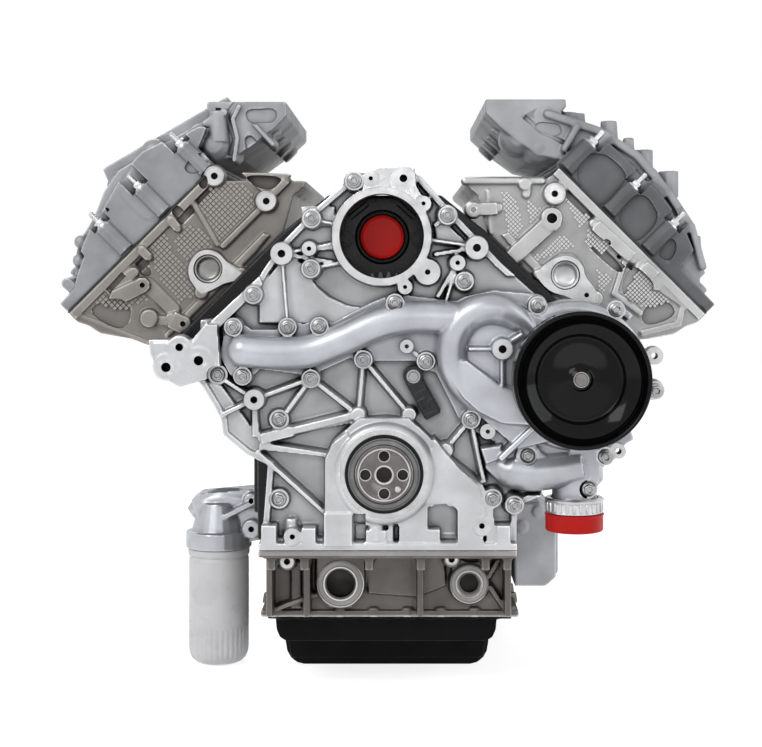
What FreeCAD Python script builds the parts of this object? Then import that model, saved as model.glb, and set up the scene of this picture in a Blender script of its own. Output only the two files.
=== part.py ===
"""Ninety-degree V8 diesel long block, built as an assembly of separate castings, shafts and fasteners.

Frame: the origin is the centre of the crankshaft's front face, +X is to the right seen from the front,
+Y runs to the rear along the crankshaft and +Z is up. All lengths are millimetres.
"""

import FreeCAD, Part
import math
import os

# ---------------------------------------------------------------- driving dimensions
BORE = 99.0
STROKE = 108.0
ROD_LENGTH = 177.0
COMPRESSION_HEIGHT = 62.0
DECK_HEIGHT = 295.0
BANK_ANGLE = 45.0
BORE_SPACING = 114.0
FIRST_BORE_RIGHT = 170.0
BANK_STAGGER = 30.0
CYLINDERS_PER_BANK = 4

BLOCK_FRONT = 85.0
BLOCK_REAR = 640.0
SKIRT_HALF_WIDTH = 158.0
PAN_RAIL_Z = -92.0
VALLEY_FLOOR_Z = 190.0
BULKHEAD_TOP_Z = 336.0
BULKHEAD_REAR = 112.0
CAP_HALF_WIDTH = 62.0
PLUG_SEAT_RADIUS = 27.0
PAD_X = 172.0
PAD_Y = 360.0
PAD_Z = -18.0
PAD_SPACING_Y = 90.0
PAD_SPACING_Z = 56.0
PAD_HOLE_RADIUS = 5.5

MAIN_RADIUS = 40.0
PIN_RADIUS = 31.5
THROW = STROKE / 2
MAIN_WIDTH = 28.0
PIN_WIDTH = 56.0
WEB_RADIUS = 87.0
PIN_ANGLES = (45.0, 135.0, 315.0, 225.0)
CRANK_REAR = 690.0
SEAL_LAND_RADIUS = 42.0
REAR_FLANGE_RADIUS = 49.0
REAR_SEAL_RADIUS = 58.0
GEAR_SEAT_RADIUS = 35.0
RUNNING_FIT = 0.05

CAM_Z = 142.5
CAM_JOURNAL_RADIUS = 29.0
CAM_NOSE_RADIUS = 20.0
GEAR_MODULE = 2 * CAM_Z / 90
CRANK_TEETH = 30
CAM_TEETH = 60
GEAR_FRONT = 52.0
GEAR_REAR = 76.0

PUMP_BORE_X = -3.0
PUMP_BORE_Z = 284.0
PUMP_BORE_RADIUS = 50.7

COVER_WEB_FRONT = 40.0
COVER_WALL = 6.0
BOSS_FRONT = 15.0
RIB_FRONT = 21.0
RIB_WIDTH = 4.6
RECESS_FRONT = 32.0
SEAL_BORE_RADIUS = 47.0

PULLEY_X = 228.0
PULLEY_Z = 117.0
PULLEY_RADIUS = 79.7
PULLEY_FRONT = -75.0
PULLEY_BACK = -36.0
PUMP_SHAFT_RADIUS = 9.0
IMPELLER_RADIUS = 40.0
CROSSOVER_RADIUS = 19.5
NECK_X = 230.0
NECK_Y = 44.0
NECK_RADIUS = 29.0
CAP_TOP = -50.0

HEAD_LENGTH = 494.0
HEAD_GASKET = 1.5
HEAD_HEIGHT = 120.0
COVER_GASKET = 1.5
COVER_STUDS = (-101.0, -26.0, 42.0)
EXHAUST_ROW_SPACING = 68.0
EXHAUST_HOLE_RADIUS = 4.5
INLET_HOLE_SPACING = 76.0
INLET_HOLE_RADIUS = 4.0
BANK_FRONT = {"right": 95.0, "left": 95.0 + BANK_STAGGER}

UPPER_PAN_FRONT = 100.0
UPPER_PAN_BOTTOM = -190.0
SUMP_FRONT = 250.0
SUMP_REAR = 604.0
SUMP_BOTTOM = -288.0

FILTER_X = -226.0
FILTER_Y = 265.0
FILTER_RADIUS = 41.5
FILTER_TOP = -131.0
FILTER_LENGTH = 155.0

NOSE_BOLT_CIRCLE = 44.5
NOSE_BOLT_RADIUS = 6.3
FLYWHEEL_BOLT_CIRCLE = 76.0
FLYWHEEL_BOLT_RADIUS = 5.5
FLYWHEEL_BOLTS = 6
BELL_SPACING_X = 340.0
BELL_SPACING_Z = 120.0
BELL_LOW_Z = -40.0
BELL_HOLE_RADIUS = 6.0

BOSS_SIDES = 8
HOLE_SIDES = 6
SHAFT_SIDES = 12
ROUND_SIDES = 24
PISTON_SIDES = 20


# ---------------------------------------------------------------- shared forms
def vec(x, y, z):
    """A point or direction in the engine's frame."""
    return FreeCAD.Vector(x, y, z)


def prism(points, front, rear):
    """Solid whose front-view outline is the given (x, z) points, between two planes across the crankshaft."""
    loop = [vec(x, front, z) for x, z in points]
    wire = Part.makePolygon(loop + loop[:1])
    return Part.Face(wire).extrude(vec(0, rear - front, 0))


def corner_arc(before, corner, after, radius):
    """Tangent points and middle of the arc that rounds one corner."""
    back = before.sub(corner)
    ahead = after.sub(corner)
    half = back.getAngle(ahead) / 2
    cut = min(radius / math.tan(half), 0.45 * back.Length, 0.45 * ahead.Length)
    radius = cut * math.tan(half)
    back.normalize()
    ahead.normalize()
    bisector = back.add(ahead)
    bisector.normalize()
    middle = corner.add(bisector * (radius / math.sin(half) - radius))
    return corner.add(back * cut), middle, corner.add(ahead * cut)


def rounded_prism(points, front, rear, radius):
    """A prism whose outline has rounded corners."""
    loop = [vec(x, front, z) for x, z in points]
    count = len(loop)
    arcs = [corner_arc(loop[i - 1], loop[i], loop[(i + 1) % count], radius) for i in range(count)]
    edges = []
    for i, (start, middle, end) in enumerate(arcs):
        edges.append(Part.Arc(start, middle, end).toShape())
        following = arcs[(i + 1) % count][0]
        if end.distanceToPoint(following) > 0.01:
            edges.append(Part.LineSegment(end, following).toShape())
    return Part.Face(Part.Wire(edges)).extrude(vec(0, rear - front, 0))


def box(x, y, z):
    """Block between three pairs of limits."""
    return Part.makeBox(x[1] - x[0], y[1] - y[0], z[1] - z[0], vec(x[0], y[0], z[0]))


def rod(x, z, radius, front, rear):
    """Round bar along the crankshaft's direction."""
    return Part.makeCylinder(radius, rear - front, vec(x, front, z), vec(0, 1, 0))


def regular_outline(x, z, radius, sides, turn=0.0):
    """Corners of a regular polygon in front view."""
    steps = [turn + 2 * math.pi * i / sides for i in range(sides)]
    return [(x + radius * math.cos(a), z + radius * math.sin(a)) for a in steps]


def post(x, z, radius, front, rear, sides=BOSS_SIDES):
    """Boss or shank with few sides, for forms that repeat many times."""
    return prism(regular_outline(x, z, radius, sides, math.pi / sides), front, rear)


def seat(x, z, radius, front, rear, sides):
    """Hole with few sides that just clears a round bar of the given radius."""
    return post(x, z, radius / math.cos(math.pi / sides), front, rear, sides)


def turned(profile, sides=ROUND_SIDES, upright=False):
    """Ring or disc with flat sides round an axis at the origin, from a closed (radius, distance) profile.

    The axis runs rearward, or upward when upright is set. A radius of zero lies on the axis.
    """
    steps = [2 * math.pi * i / sides for i in range(sides + 1)]
    faces = []
    for (r0, d0), (r1, d1) in zip(profile, profile[1:] + profile[:1]):
        if r0 == 0 and r1 == 0:
            continue
        for a, b in zip(steps, steps[1:]):
            corners = [(r0, d0, a), (r0, d0, b), (r1, d1, b), (r1, d1, a)]
            loop = []
            for r, d, angle in corners:
                across, along = r * math.cos(angle), r * math.sin(angle)
                point = vec(across, along, d) if upright else vec(across, d, along)
                if not any(point.distanceToPoint(other) < 1e-6 for other in loop):
                    loop.append(point)
            faces.append(Part.Face(Part.makePolygon(loop + loop[:1])))
    solid = Part.makeSolid(Part.makeShell(faces))
    return solid if solid.Volume > 0 else solid.reversed()


def moved(shape, x, y, z):
    """A shape shifted to a place in the engine's frame."""
    shape.translate(vec(x, y, z))
    return shape


def bar(start, end, width, front, rear):
    """Straight rib between two (x, z) points."""
    dx = end[0] - start[0]
    dz = end[1] - start[1]
    length = math.hypot(dx, dz)
    sx = -dz / length * width / 2
    sz = dx / length * width / 2
    corners = [(start[0] + sx, start[1] + sz), (end[0] + sx, end[1] + sz),
               (end[0] - sx, end[1] - sz), (start[0] - sx, start[1] - sz)]
    return prism(corners, front, rear)


def inset(points, distance):
    """Front-view outline moved inwards by a distance, corner by corner."""
    count = len(points)
    area = sum(points[i - 1][0] * points[i][1] - points[i][0] * points[i - 1][1] for i in range(count))
    side = 1.0 if area > 0 else -1.0
    moved = []
    for i in range(count):
        ax, az = points[i - 1]
        bx, bz = points[i]
        cx, cz = points[(i + 1) % count]
        ux, uz = unit(bx - ax, bz - az)
        wx, wz = unit(cx - bx, cz - bz)
        nx, nz = -(uz + wz) * side, (ux + wx) * side
        scale = distance / max(0.35, (nx * -uz + nz * ux) * side)
        moved.append((bx + nx * scale, bz + nz * scale))
    return moved


def unit(dx, dz):
    """Direction of length one."""
    length = math.hypot(dx, dz)
    return dx / length, dz / length


def fuse(shapes):
    """One solid from touching shapes."""
    first, rest = shapes[0], list(shapes[1:])
    return first.multiFuse(rest).removeSplitter() if rest else first


def cut(shape, tools):
    """A shape with tools taken out of it."""
    tools = list(tools)
    return shape.cut(Part.makeCompound(tools)) if tools else shape


def bank_point(u, v, side="right"):
    """Front-view (x, z) of a point u outboard of a cylinder's axis and v up along it from the crankshaft."""
    x = (v + u) * math.sqrt(0.5)
    z = (v - u) * math.sqrt(0.5)
    return (x, z) if side == "right" else (-x, z)


def bank_outline(points, side="right"):
    """Front-view outline from (u, v) points of one bank."""
    return [bank_point(u, v, side) for u, v in points]


def bank_rod(u, y, radius, low, high, side):
    """Round bar along a cylinder's axis."""
    x0, z0 = bank_point(u, low, side)
    x1, z1 = bank_point(u, high, side)
    return Part.makeCylinder(radius, high - low, vec(x0, y, z0), vec(x1 - x0, 0, z1 - z0))


def bank_post(u, y, radius, low, high, side, sides=HOLE_SIDES):
    """Bar with few sides along a cylinder's axis."""
    upright = Part.makePolygon([vec(px, py, low) for px, py in
                                regular_outline(0, 0, radius, sides) + [(radius, 0)]])
    solid = Part.Face(upright).extrude(vec(0, 0, high - low))
    solid.translate(vec(u, y, 0))
    turn = BANK_ANGLE if side == "right" else -BANK_ANGLE
    if side == "left":
        solid = solid.mirror(vec(0, 0, 0), vec(1, 0, 0))
    solid.rotate(vec(0, 0, 0), vec(0, 1, 0), turn)
    return solid


def bore_positions(side):
    """Distances of one bank's cylinder axes behind the crankshaft's front face."""
    first = FIRST_BORE_RIGHT + (BANK_STAGGER if side == "left" else 0)
    return [first + BORE_SPACING * i for i in range(CYLINDERS_PER_BANK)]


def main_positions():
    """Distances of the five main bearings."""
    first_pin = FIRST_BORE_RIGHT + BANK_STAGGER / 2
    return [first_pin + BORE_SPACING * (i - 0.5) for i in range(CYLINDERS_PER_BANK + 1)]


def save(shape, name):
    """Write one sub-part's STEP file."""
    shape.exportStep(os.path.join("parts", name + ".step"))


# ---------------------------------------------------------------- cylinder block
def block_outline():
    """Front-view section of the block, with the wall that closes the front of the valley."""
    right = [(SKIRT_HALF_WIDTH, PAN_RAIL_Z), (SKIRT_HALF_WIDTH, 52.0)]
    right += bank_outline([(76, 268), (90, 279), (90, DECK_HEIGHT), (-116, DECK_HEIGHT)])
    right += [(70.0, BULKHEAD_TOP_Z)]
    return right + [(-x, z) for x, z in reversed(right)]


def valley_outline():
    """Front-view section of the space between the banks."""
    right = [(84.0, VALLEY_FLOOR_Z)] + bank_outline([(-80, 284), (-80, 400)])
    return right + [(-x, z) for x, z in reversed(right)]


def cylinder_block():
    """Cast-iron block: banks, crankcase bays, cam tunnel, main saddles and side ribs."""
    body = prism(block_outline(), BLOCK_FRONT, BLOCK_REAR)
    tools = [prism(valley_outline(), BULKHEAD_REAR, BLOCK_REAR - 26)]
    rear_top = bank_point(-80, DECK_HEIGHT)[1] - 20
    tools.append(box((-200, 200), (BLOCK_REAR - 26, BLOCK_REAR), (rear_top, 400)))
    tools += [bank_rod(0, y, BORE / 2, 84, DECK_HEIGHT + 1, side)
              for side in BANK_FRONT for y in bore_positions(side)]
    mains = main_positions()
    bay_half = SKIRT_HALF_WIDTH - 12
    for before, after in zip(mains, mains[1:]):
        front = before + MAIN_WIDTH / 2
        rear = after - MAIN_WIDTH / 2
        tools.append(post(0, 0, WEB_RADIUS + 11, front, rear, SHAFT_SIDES))
        tools.append(box((-bay_half, bay_half), (front, rear), (PAN_RAIL_Z - 1, 0)))
    tools.append(box((-CAP_HALF_WIDTH, CAP_HALF_WIDTH), (BLOCK_FRONT, BLOCK_REAR), (PAN_RAIL_Z - 1, 0)))
    tools.append(rod(0, 0, MAIN_RADIUS + RUNNING_FIT, BLOCK_FRONT - 1, BLOCK_REAR + 1))
    tools.append(rod(0, CAM_Z, CAM_JOURNAL_RADIUS + RUNNING_FIT, BLOCK_FRONT - 1, BLOCK_REAR + 1))
    tools.append(post(PUMP_BORE_X, PUMP_BORE_Z, PLUG_SEAT_RADIUS, BLOCK_FRONT - 1, BLOCK_FRONT + 12,
                      ROUND_SIDES))
    body = cut(body, tools)
    return fuse([body] + side_ribs() + mount_pads()).cut(Part.makeCompound(mount_pad_holes()))


def side_ribs():
    """Upright stiffening ribs outside the crankcase, one at each main bearing."""
    ribs = []
    for y in main_positions():
        for sign in (1, -1):
            outline = [(sign * 150, -64), (sign * 166, -64), (sign * 166, 48), (sign * 208, 92),
                       (sign * 200, 100), (sign * 150, 50)]
            ribs.append(prism(outline, y - 5, y + 5))
    return ribs


def mount_pads():
    """Flat engine-mount pad on each side of the crankcase."""
    half_y = PAD_SPACING_Y / 2 + 14
    half_z = PAD_SPACING_Z / 2 + 14
    return [box(sorted((sign * 150, sign * PAD_X)), (PAD_Y - half_y, PAD_Y + half_y),
                (PAD_Z - half_z, PAD_Z + half_z)) for sign in (1, -1)]


def mount_pad_holes():
    """Tapped holes of the engine-mount pads."""
    holes = []
    for sign in (1, -1):
        for dy in (-PAD_SPACING_Y / 2, PAD_SPACING_Y / 2):
            for dz in (-PAD_SPACING_Z / 2, PAD_SPACING_Z / 2):
                start = vec(sign * (PAD_X - 20), PAD_Y + dy, PAD_Z + dz)
                holes.append(Part.makeCylinder(PAD_HOLE_RADIUS, 21, start, vec(sign, 0, 0)))
    return holes


def main_bearing_caps():
    """Five caps that hold the crankshaft up into its saddles."""
    caps = []
    for y in main_positions():
        outline = [(-CAP_HALF_WIDTH, 0), (-CAP_HALF_WIDTH, -52), (-44, -74), (44, -74),
                   (CAP_HALF_WIDTH, -52), (CAP_HALF_WIDTH, 0)]
        cap = prism(outline, y - MAIN_WIDTH / 2, y + MAIN_WIDTH / 2)
        caps.append(cap.cut(rod(0, 0, MAIN_RADIUS + RUNNING_FIT, y - 20, y + 20)))
    return Part.makeCompound(caps)


def main_cap_bolts():
    """Two bolt heads under each main cap."""
    heads = []
    for y in main_positions():
        for x in (-33, 33):
            outline = regular_outline(x, y, 9.5, 6)
            loop = [vec(px, py, -74) for px, py in outline]
            heads.append(Part.Face(Part.makePolygon(loop + loop[:1])).extrude(vec(0, 0, -10)))
    return Part.makeCompound(heads)


# ---------------------------------------------------------------- rotating parts
def gear_outline(teeth, x, z, turn):
    """Straight-flanked outline that stays inside the involute tooth of the same size."""
    pitch = GEAR_MODULE * teeth / 2
    base = pitch * math.cos(math.radians(20))
    tip = pitch + 0.95 * GEAR_MODULE
    root = pitch - 1.2 * GEAR_MODULE
    at_pitch = math.tan(math.radians(20)) - math.radians(20)
    points = []
    for tooth in range(teeth):
        centre = turn + 2 * math.pi * tooth / teeth
        for radius, sign in ((root, -1), (tip, -1), (tip, 1), (root, 1)):
            pressure = math.acos(min(1.0, base / radius))
            half = math.pi / (2 * teeth) + at_pitch - (math.tan(pressure) - pressure)
            half -= 0.16 / radius
            angle = centre + sign * half
            points.append((x + radius * math.cos(angle), z + radius * math.sin(angle)))
    return points


def crank_gear():
    """Timing gear on the crankshaft's nose."""
    teeth = prism(gear_outline(CRANK_TEETH, 0, 0, math.pi / 2), GEAR_FRONT, GEAR_REAR)
    return teeth.cut(post(0, 0, GEAR_SEAT_RADIUS, GEAR_FRONT - 1, GEAR_REAR + 1, SHAFT_SIDES))


def cam_gear():
    """Timing gear on the camshaft's nose, lightened by a dished web and five holes."""
    half_pitch = math.pi / CAM_TEETH
    gear = prism(gear_outline(CAM_TEETH, 0, CAM_Z, math.pi / 2 + half_pitch), GEAR_FRONT, GEAR_REAR)
    tools = [post(0, CAM_Z, CAM_NOSE_RADIUS, GEAR_FRONT - 1, GEAR_REAR + 1, SHAFT_SIDES)]
    dish = post(0, CAM_Z, 82, GEAR_FRONT, GEAR_FRONT + 7, ROUND_SIDES)
    tools.append(dish.cut(post(0, CAM_Z, 36, GEAR_FRONT - 1, GEAR_FRONT + 8, SHAFT_SIDES)))
    for x, z in regular_outline(0, CAM_Z, 59, 5, math.pi / 2):
        tools.append(post(x, z, 15, GEAR_FRONT, GEAR_REAR + 1))
    return cut(gear, tools)


def crank_web(y, thickness, angle):
    """One crank cheek with its counterweight opposite the pin."""
    radians = math.radians(angle)
    sin_a, cos_a = math.sin(radians), math.cos(radians)

    def place(side, reach):
        return (side * cos_a + reach * sin_a, -side * sin_a + reach * cos_a)

    weight = [place(WEB_RADIUS * math.cos(math.radians(a)), -WEB_RADIUS * math.sin(math.radians(a)))
              for a in range(15, 166, 30)]
    arm = [place(-44, 20), place(-22, THROW + 28), place(22, THROW + 28), place(44, 20)]
    return prism(weight + arm, y, y + thickness)


def crankshaft():
    """Forged cross-plane crankshaft with four pins, eight cheeks and a flange at each end."""
    mains = main_positions()
    pieces = [post(0, 0, 33.6, 0, 8, ROUND_SIDES), rod(0, 0, SEAL_LAND_RADIUS, 5, 42),
              post(0, 0, GEAR_SEAT_RADIUS, 42, 90, SHAFT_SIDES),
              post(0, 0, MAIN_RADIUS - 1, 90, mains[0] - MAIN_WIDTH / 2, SHAFT_SIDES)]
    for y in mains:
        pieces.append(rod(0, 0, MAIN_RADIUS, y - MAIN_WIDTH / 2, y + MAIN_WIDTH / 2))
    web = (BORE_SPACING - MAIN_WIDTH - PIN_WIDTH) / 2
    for i, angle in enumerate(PIN_ANGLES):
        pin_x = THROW * math.sin(math.radians(angle))
        pin_z = THROW * math.cos(math.radians(angle))
        front = mains[i] + MAIN_WIDTH / 2
        pieces.append(crank_web(front, web, angle))
        pieces.append(post(pin_x, pin_z, PIN_RADIUS, front + web, front + web + PIN_WIDTH, SHAFT_SIDES))
        pieces.append(crank_web(front + web + PIN_WIDTH, web, angle))
    pieces.append(post(0, 0, MAIN_RADIUS - 1, mains[-1] + MAIN_WIDTH / 2, BLOCK_REAR + 6, SHAFT_SIDES))
    pieces.append(rod(0, 0, REAR_FLANGE_RADIUS, BLOCK_REAR + 6, CRANK_REAR))
    tools = [rod(x, z, NOSE_BOLT_RADIUS, -1, 26)
             for x, z in regular_outline(0, 0, NOSE_BOLT_CIRCLE / 2, 4)]
    tools.append(post(0, 0, 9.8, -1, 20, SHAFT_SIDES))
    tools += [rod(x, z, FLYWHEEL_BOLT_RADIUS, CRANK_REAR - 24, CRANK_REAR + 1)
              for x, z in regular_outline(0, 0, FLYWHEEL_BOLT_CIRCLE / 2, FLYWHEEL_BOLTS)]
    tools.append(post(0, 0, 14, CRANK_REAR - 20, CRANK_REAR + 1, SHAFT_SIDES))
    return cut(fuse(pieces), tools)


def nose_dowel():
    """Dowel that times the damper to the crankshaft."""
    return post(16.3, -16.9, 3.6, -3, 0)


def lobe_outline(angle):
    """Egg-shaped front-view outline of one cam lobe."""
    points = []
    for degrees, reach in ((-12, 26.5), (12, 26.5), (70, 20), (130, 19), (180, 19), (230, 19), (290, 20)):
        a = math.radians(degrees)
        points.append((reach * math.sin(a + angle), CAM_Z + reach * math.cos(a + angle)))
    return points


def camshaft():
    """Camshaft with five journals and a lobe pair for each cylinder."""
    mains = main_positions()
    pieces = [post(0, CAM_Z, 15, 84, mains[-1] + 12, HOLE_SIDES),
              post(0, CAM_Z, CAM_NOSE_RADIUS, GEAR_FRONT, GEAR_REAR + 2, SHAFT_SIDES),
              post(0, CAM_Z, 26, GEAR_REAR, 85, SHAFT_SIDES)]
    for y in mains:
        pieces.append(rod(0, CAM_Z, CAM_JOURNAL_RADIUS, y - 12, y + 12))
    for i, side in enumerate(("right", "left")):
        for j, y in enumerate(bore_positions(side)):
            for k, offset in enumerate((-16, 16)):
                angle = math.radians(90 * j + 45 * i + 110 * k)
                pieces.append(prism(lobe_outline(angle), y + offset - 7, y + offset + 7))
    return fuse(pieces)


def cam_gear_bolt():
    """Bolt and washer that clamp the cam gear."""
    washer = post(0, CAM_Z, 28, GEAR_FRONT - 2.5, GEAR_FRONT, SHAFT_SIDES)
    return washer.fuse(post(0, CAM_Z, 10, 47, GEAR_FRONT - 2.5, 6))


def piston_height(side, angle):
    """Distance from the crankshaft's axis to a piston's crown at rest."""
    axis = BANK_ANGLE if side == "right" else -BANK_ANGLE
    swing = math.radians(angle - axis)
    pin = THROW * math.cos(swing) + math.sqrt(ROD_LENGTH ** 2 - (THROW * math.sin(swing)) ** 2)
    return pin + COMPRESSION_HEIGHT


def piston(side, y, angle):
    """Piston with an open skirt and a bored boss for its pin."""
    crown = piston_height(side, angle)
    radius = BORE / 2 - RUNNING_FIT
    turn = BANK_ANGLE if side == "right" else -BANK_ANGLE
    body = bank_post(0, y, radius, crown - 80, crown, side, PISTON_SIDES)
    hollow = box((-36, 36), (y - 24, y + 24), (crown - 81, crown - 30))
    pin = crown - COMPRESSION_HEIGHT
    boss = box((-15, 15), (y - 25, y + 25), (pin - 20, pin + 40))
    pocket = hollow.cut(boss)
    pocket.rotate(vec(0, 0, 0), vec(0, 1, 0), turn)
    x, z = bank_point(0, pin, side)
    return body.cut(pocket).cut(post(x, z, 13, y - 60, y + 60))


# ---------------------------------------------------------------- front cover
COVER_OUTLINE = [(-5, 367), (43, 357), (75, 321), (111, 283), (139, 253), (184, 213), (205, 195),
                 (205, 20), (190, -28), (160, -40), (159, -86), (-149, -86), (-145, -55), (-140, 9),
                 (-165, 21), (-194, 45), (-196, 64), (-206, 82), (-223, 110), (-223, 183), (-202, 184),
                 (-157, 223), (-146, 243), (-123, 276), (-87, 314), (-37, 357)]
BRACKET_OUTLINE = [(-282, 160), (-230, 160), (-212, 182), (-204, 150), (-196, 128), (-214, 112),
                   (-246, 103), (-266, 116), (-280, 142)]
BRACKET_HOLES = ((-245, 151, 6.5), (-261, 127, 8.0), (-222, 135, 8.0))
COVER_BOLTS = ((-36, 350), (76, 309), (-87, 305), (-88, 245), (-157, 214), (96, 230), (130, -30),
               (156, -38))
RECESSED_BOLTS = ((-201, 117), (-127, 63), (-127, -33))
COVER_BOSSES = ((-16, 353, 8), (23, 353, 13), (47, 323, 9), (111, 270, 14), (52, 241, 15),
                (25, 223, 9), (-123, 263, 13), (-90, 269, 8), (88, 252, 9), (-156, 88, 12),
                (124, 50, 9), (117, -63, 10), (-110, -76, 10))
COVER_RIBS = (((-25, 136), (-31, 68)), ((-25, 136), (32, 68)), ((-88, 113), (-31, 68)),
              ((-88, 113), (-156, 88)), ((-152, 40), (-38, 62)), ((-150, 30), (-60, 20)),
              ((-156, 88), (-152, 43)), ((-156, 88), (-196, 68)), ((104, 64), (74, 28)),
              ((104, 64), (120, -12)), ((76, 17), (117, -15)), ((-154, 26), (-70, -50)),
              ((-88, 113), (-118, 72)), ((-201, 117), (-156, 88)),
              ((-60, 252), (-123, 263)), ((-62, 270), (-90, 269)), ((60, 262), (111, 270)),
              ((60, 296), (76, 309)), ((88, 252), (52, 190)))
BELL_OUTLINE = [(-71, -84), (-71, 16), (-60, 40), (-30, 66), (30, 66), (62, 36), (88, 6), (118, -14),
                (131, -42), (133, -84)]
HOUSING_BOLTS = ((-181, 175), (-116, 175), (-78, 176), (13, 204), (-170, 116), (-88, 113),
                 (-25, 136), (50, 134), (184, 201), (104, 64), (278, 196), (325, 99), (245, -19), (172, 21),
                 (265, 20))


def cover_shell():
    """Thin front wall with a rim behind it that seals against the block."""
    shell = fuse([prism(COVER_OUTLINE, COVER_WEB_FRONT, BLOCK_FRONT),
                  post(PULLEY_X, PULLEY_Z, 91, COVER_WEB_FRONT, BLOCK_FRONT - 18, ROUND_SIDES)])
    cavity = prism(inset(COVER_OUTLINE, 16), COVER_WEB_FRONT + COVER_WALL, BLOCK_FRONT + 1)
    keep_out = box((116, 260), (0, 100), (-100, 240))
    gear_space = cavity.cut(keep_out)
    drain = box((-100, 100), (COVER_WEB_FRONT + COVER_WALL, BLOCK_FRONT + 1), (-93, -60))
    return shell.cut(fuse([gear_space, drain]))


def cover_rim():
    """Raised edge that follows the cover's outline on its front."""
    outer = prism(COVER_OUTLINE, RIB_FRONT + 2, COVER_WEB_FRONT)
    inner = prism(inset(COVER_OUTLINE, 7), RIB_FRONT, COVER_WEB_FRONT + 1)
    clear = box((60, 300), (0, 100), (-20, 236))
    return outer.cut(fuse([inner, clear, box((-300, 60), (0, 100), (146, 208))]))


def front_cover():
    """Cast timing cover with the fuel-pump ring, the crankshaft seal bell, ribs and bosses."""
    pieces = [cover_shell(), cover_rim()]
    pieces.append(post(PUMP_BORE_X, PUMP_BORE_Z, 60.3, 12, COVER_WEB_FRONT + COVER_WALL, ROUND_SIDES))
    pieces += [bar(a, b, RIB_WIDTH, RIB_FRONT, COVER_WEB_FRONT + 1) for a, b in COVER_RIBS]
    pieces += [post(x, z, 11, BOSS_FRONT, COVER_WEB_FRONT + 1) for x, z in COVER_BOLTS]
    pieces += [post(x, z, 11, RECESS_FRONT, COVER_WEB_FRONT + 1) for x, z in RECESSED_BOLTS]
    pieces += [post(x, z, r, BOSS_FRONT, COVER_WEB_FRONT + 1) for x, z, r in COVER_BOSSES]
    pieces.append(prism(BELL_OUTLINE, 14, COVER_WEB_FRONT + 1))
    back = COVER_WEB_FRONT + COVER_WALL
    bell = [(0, 8), (54, 8), (61, 15), (68.5, back), (0, back)]
    pieces.append(turned(bell))
    pieces.append(box((-151, 159), (BOSS_FRONT, BLOCK_FRONT), (-92, -83)))
    pieces.append(prism(BRACKET_OUTLINE, BOSS_FRONT, 62))
    body = fuse(pieces)
    tools = [rod(PUMP_BORE_X, PUMP_BORE_Z, PUMP_BORE_RADIUS, 0, COVER_WEB_FRONT + 8)]
    tools.append(post(0, 0, SEAL_BORE_RADIUS, 0, COVER_WEB_FRONT + 8, ROUND_SIDES))
    tools += [post(x, z, r, 0, 100) for x, z, r in BRACKET_HOLES]
    tools += [post(x, z, 4.5, 0, 100, HOLE_SIDES) for x, z in COVER_BOLTS + RECESSED_BOLTS]
    tools += [post(x, z, 9, 0, BOSS_FRONT) for x, z in COVER_BOLTS]
    tools += [post(x, z, 10.5, 0, RECESS_FRONT) for x, z in RECESSED_BOLTS]
    tools.append(prism(inset(HOUSING_FLANGE, -1.5), 0, COVER_WEB_FRONT))
    tools += [post(x, z, 13, 0, COVER_WEB_FRONT) for x, z in HOUSING_BOLTS]
    tools.append(post(PULLEY_X, PULLEY_Z, 92, 0, COVER_WEB_FRONT, ROUND_SIDES))
    tools.append(box((140, 300), (0, COVER_WEB_FRONT), (-27, 60)))
    tools.append(box((NECK_X - NECK_RADIUS - 2, 300), (0, BLOCK_FRONT), (CAP_TOP, 16)))
    tools += [post(x, z, r * 0.45, 0, COVER_WEB_FRONT - 8, HOLE_SIDES) for x, z, r in COVER_BOSSES]
    tools += [box((52, 90), (0, 36), (-82, -40)), box((-36, 44), (0, 34), (-82, -62)),
              box((100, 122), (0, 34), (-82, -74))]
    return cut(body, tools)


def bolt(x, z, front, seat, tip, size=8.0):
    """Hexagon bolt: head and shank."""
    return post(x, z, size * 0.9, front, seat, 6).fuse(post(x, z, size / 2, seat, tip, 6))


def front_cover_bolts():
    """Bolts that hold the timing cover to the block."""
    tall = [bolt(x, z, BOSS_FRONT - 10, BOSS_FRONT, BLOCK_FRONT) for x, z in COVER_BOLTS]
    low = [bolt(x, z, RECESS_FRONT - 10, RECESS_FRONT, BLOCK_FRONT) for x, z in RECESSED_BOLTS]
    return Part.makeCompound(tall + low)


# ---------------------------------------------------------------- coolant housing and water pump
CROSSOVER = ((-172, 149), (-131, 147), (-84, 152), (-46, 165), (-7, 182), (32, 190), (92, 186))
VOLUTE = [(80, 187), (98, 201), (132, 211), (166, 200), (200, 178), (200, 40), (160, 24), (118, 66),
          (93, 84), (75, 113), (66, 143), (66, 166)]
HOUSING_FLANGE = [(-192, 170), (-181, 186), (-160, 172), (-128, 172), (-116, 186), (-97, 178),
                  (-78, 188), (-62, 180), (-16, 204), (13, 216), (34, 212), (86, 206), (98, 212),
                  (132, 219), (184, 214), (206, 190), (206, 40), (160, 22), (104, 52), (92, 60),
                  (80, 84), (62, 120), (50, 122), (36, 134), (-14, 134), (-25, 124), (-40, 138),
                  (-76, 122), (-88, 101), (-102, 118), (-150, 124), (-170, 104), (-186, 118),
                  (-198, 140)]
INLET_BODY = [(150, 36), (206, 40), (262, 40), (262, -10), (196, -24), (172, -6)]


def round_pipe(points, radius, y):
    """Tube with few sides whose centreline runs through (x, z) points."""
    path = Part.makePolygon([vec(x, y, z) for x, z in points])
    dx, dz = unit(points[1][0] - points[0][0], points[1][1] - points[0][1])
    corners = []
    for across, rise in regular_outline(0, 0, radius, SHAFT_SIDES, math.pi / SHAFT_SIDES):
        corners.append(vec(points[0][0] - dz * rise, y + across, points[0][1] + dx * rise))
    section = Part.makePolygon(corners + corners[:1])
    return path.makePipeShell([section], True, False, 1)


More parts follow.
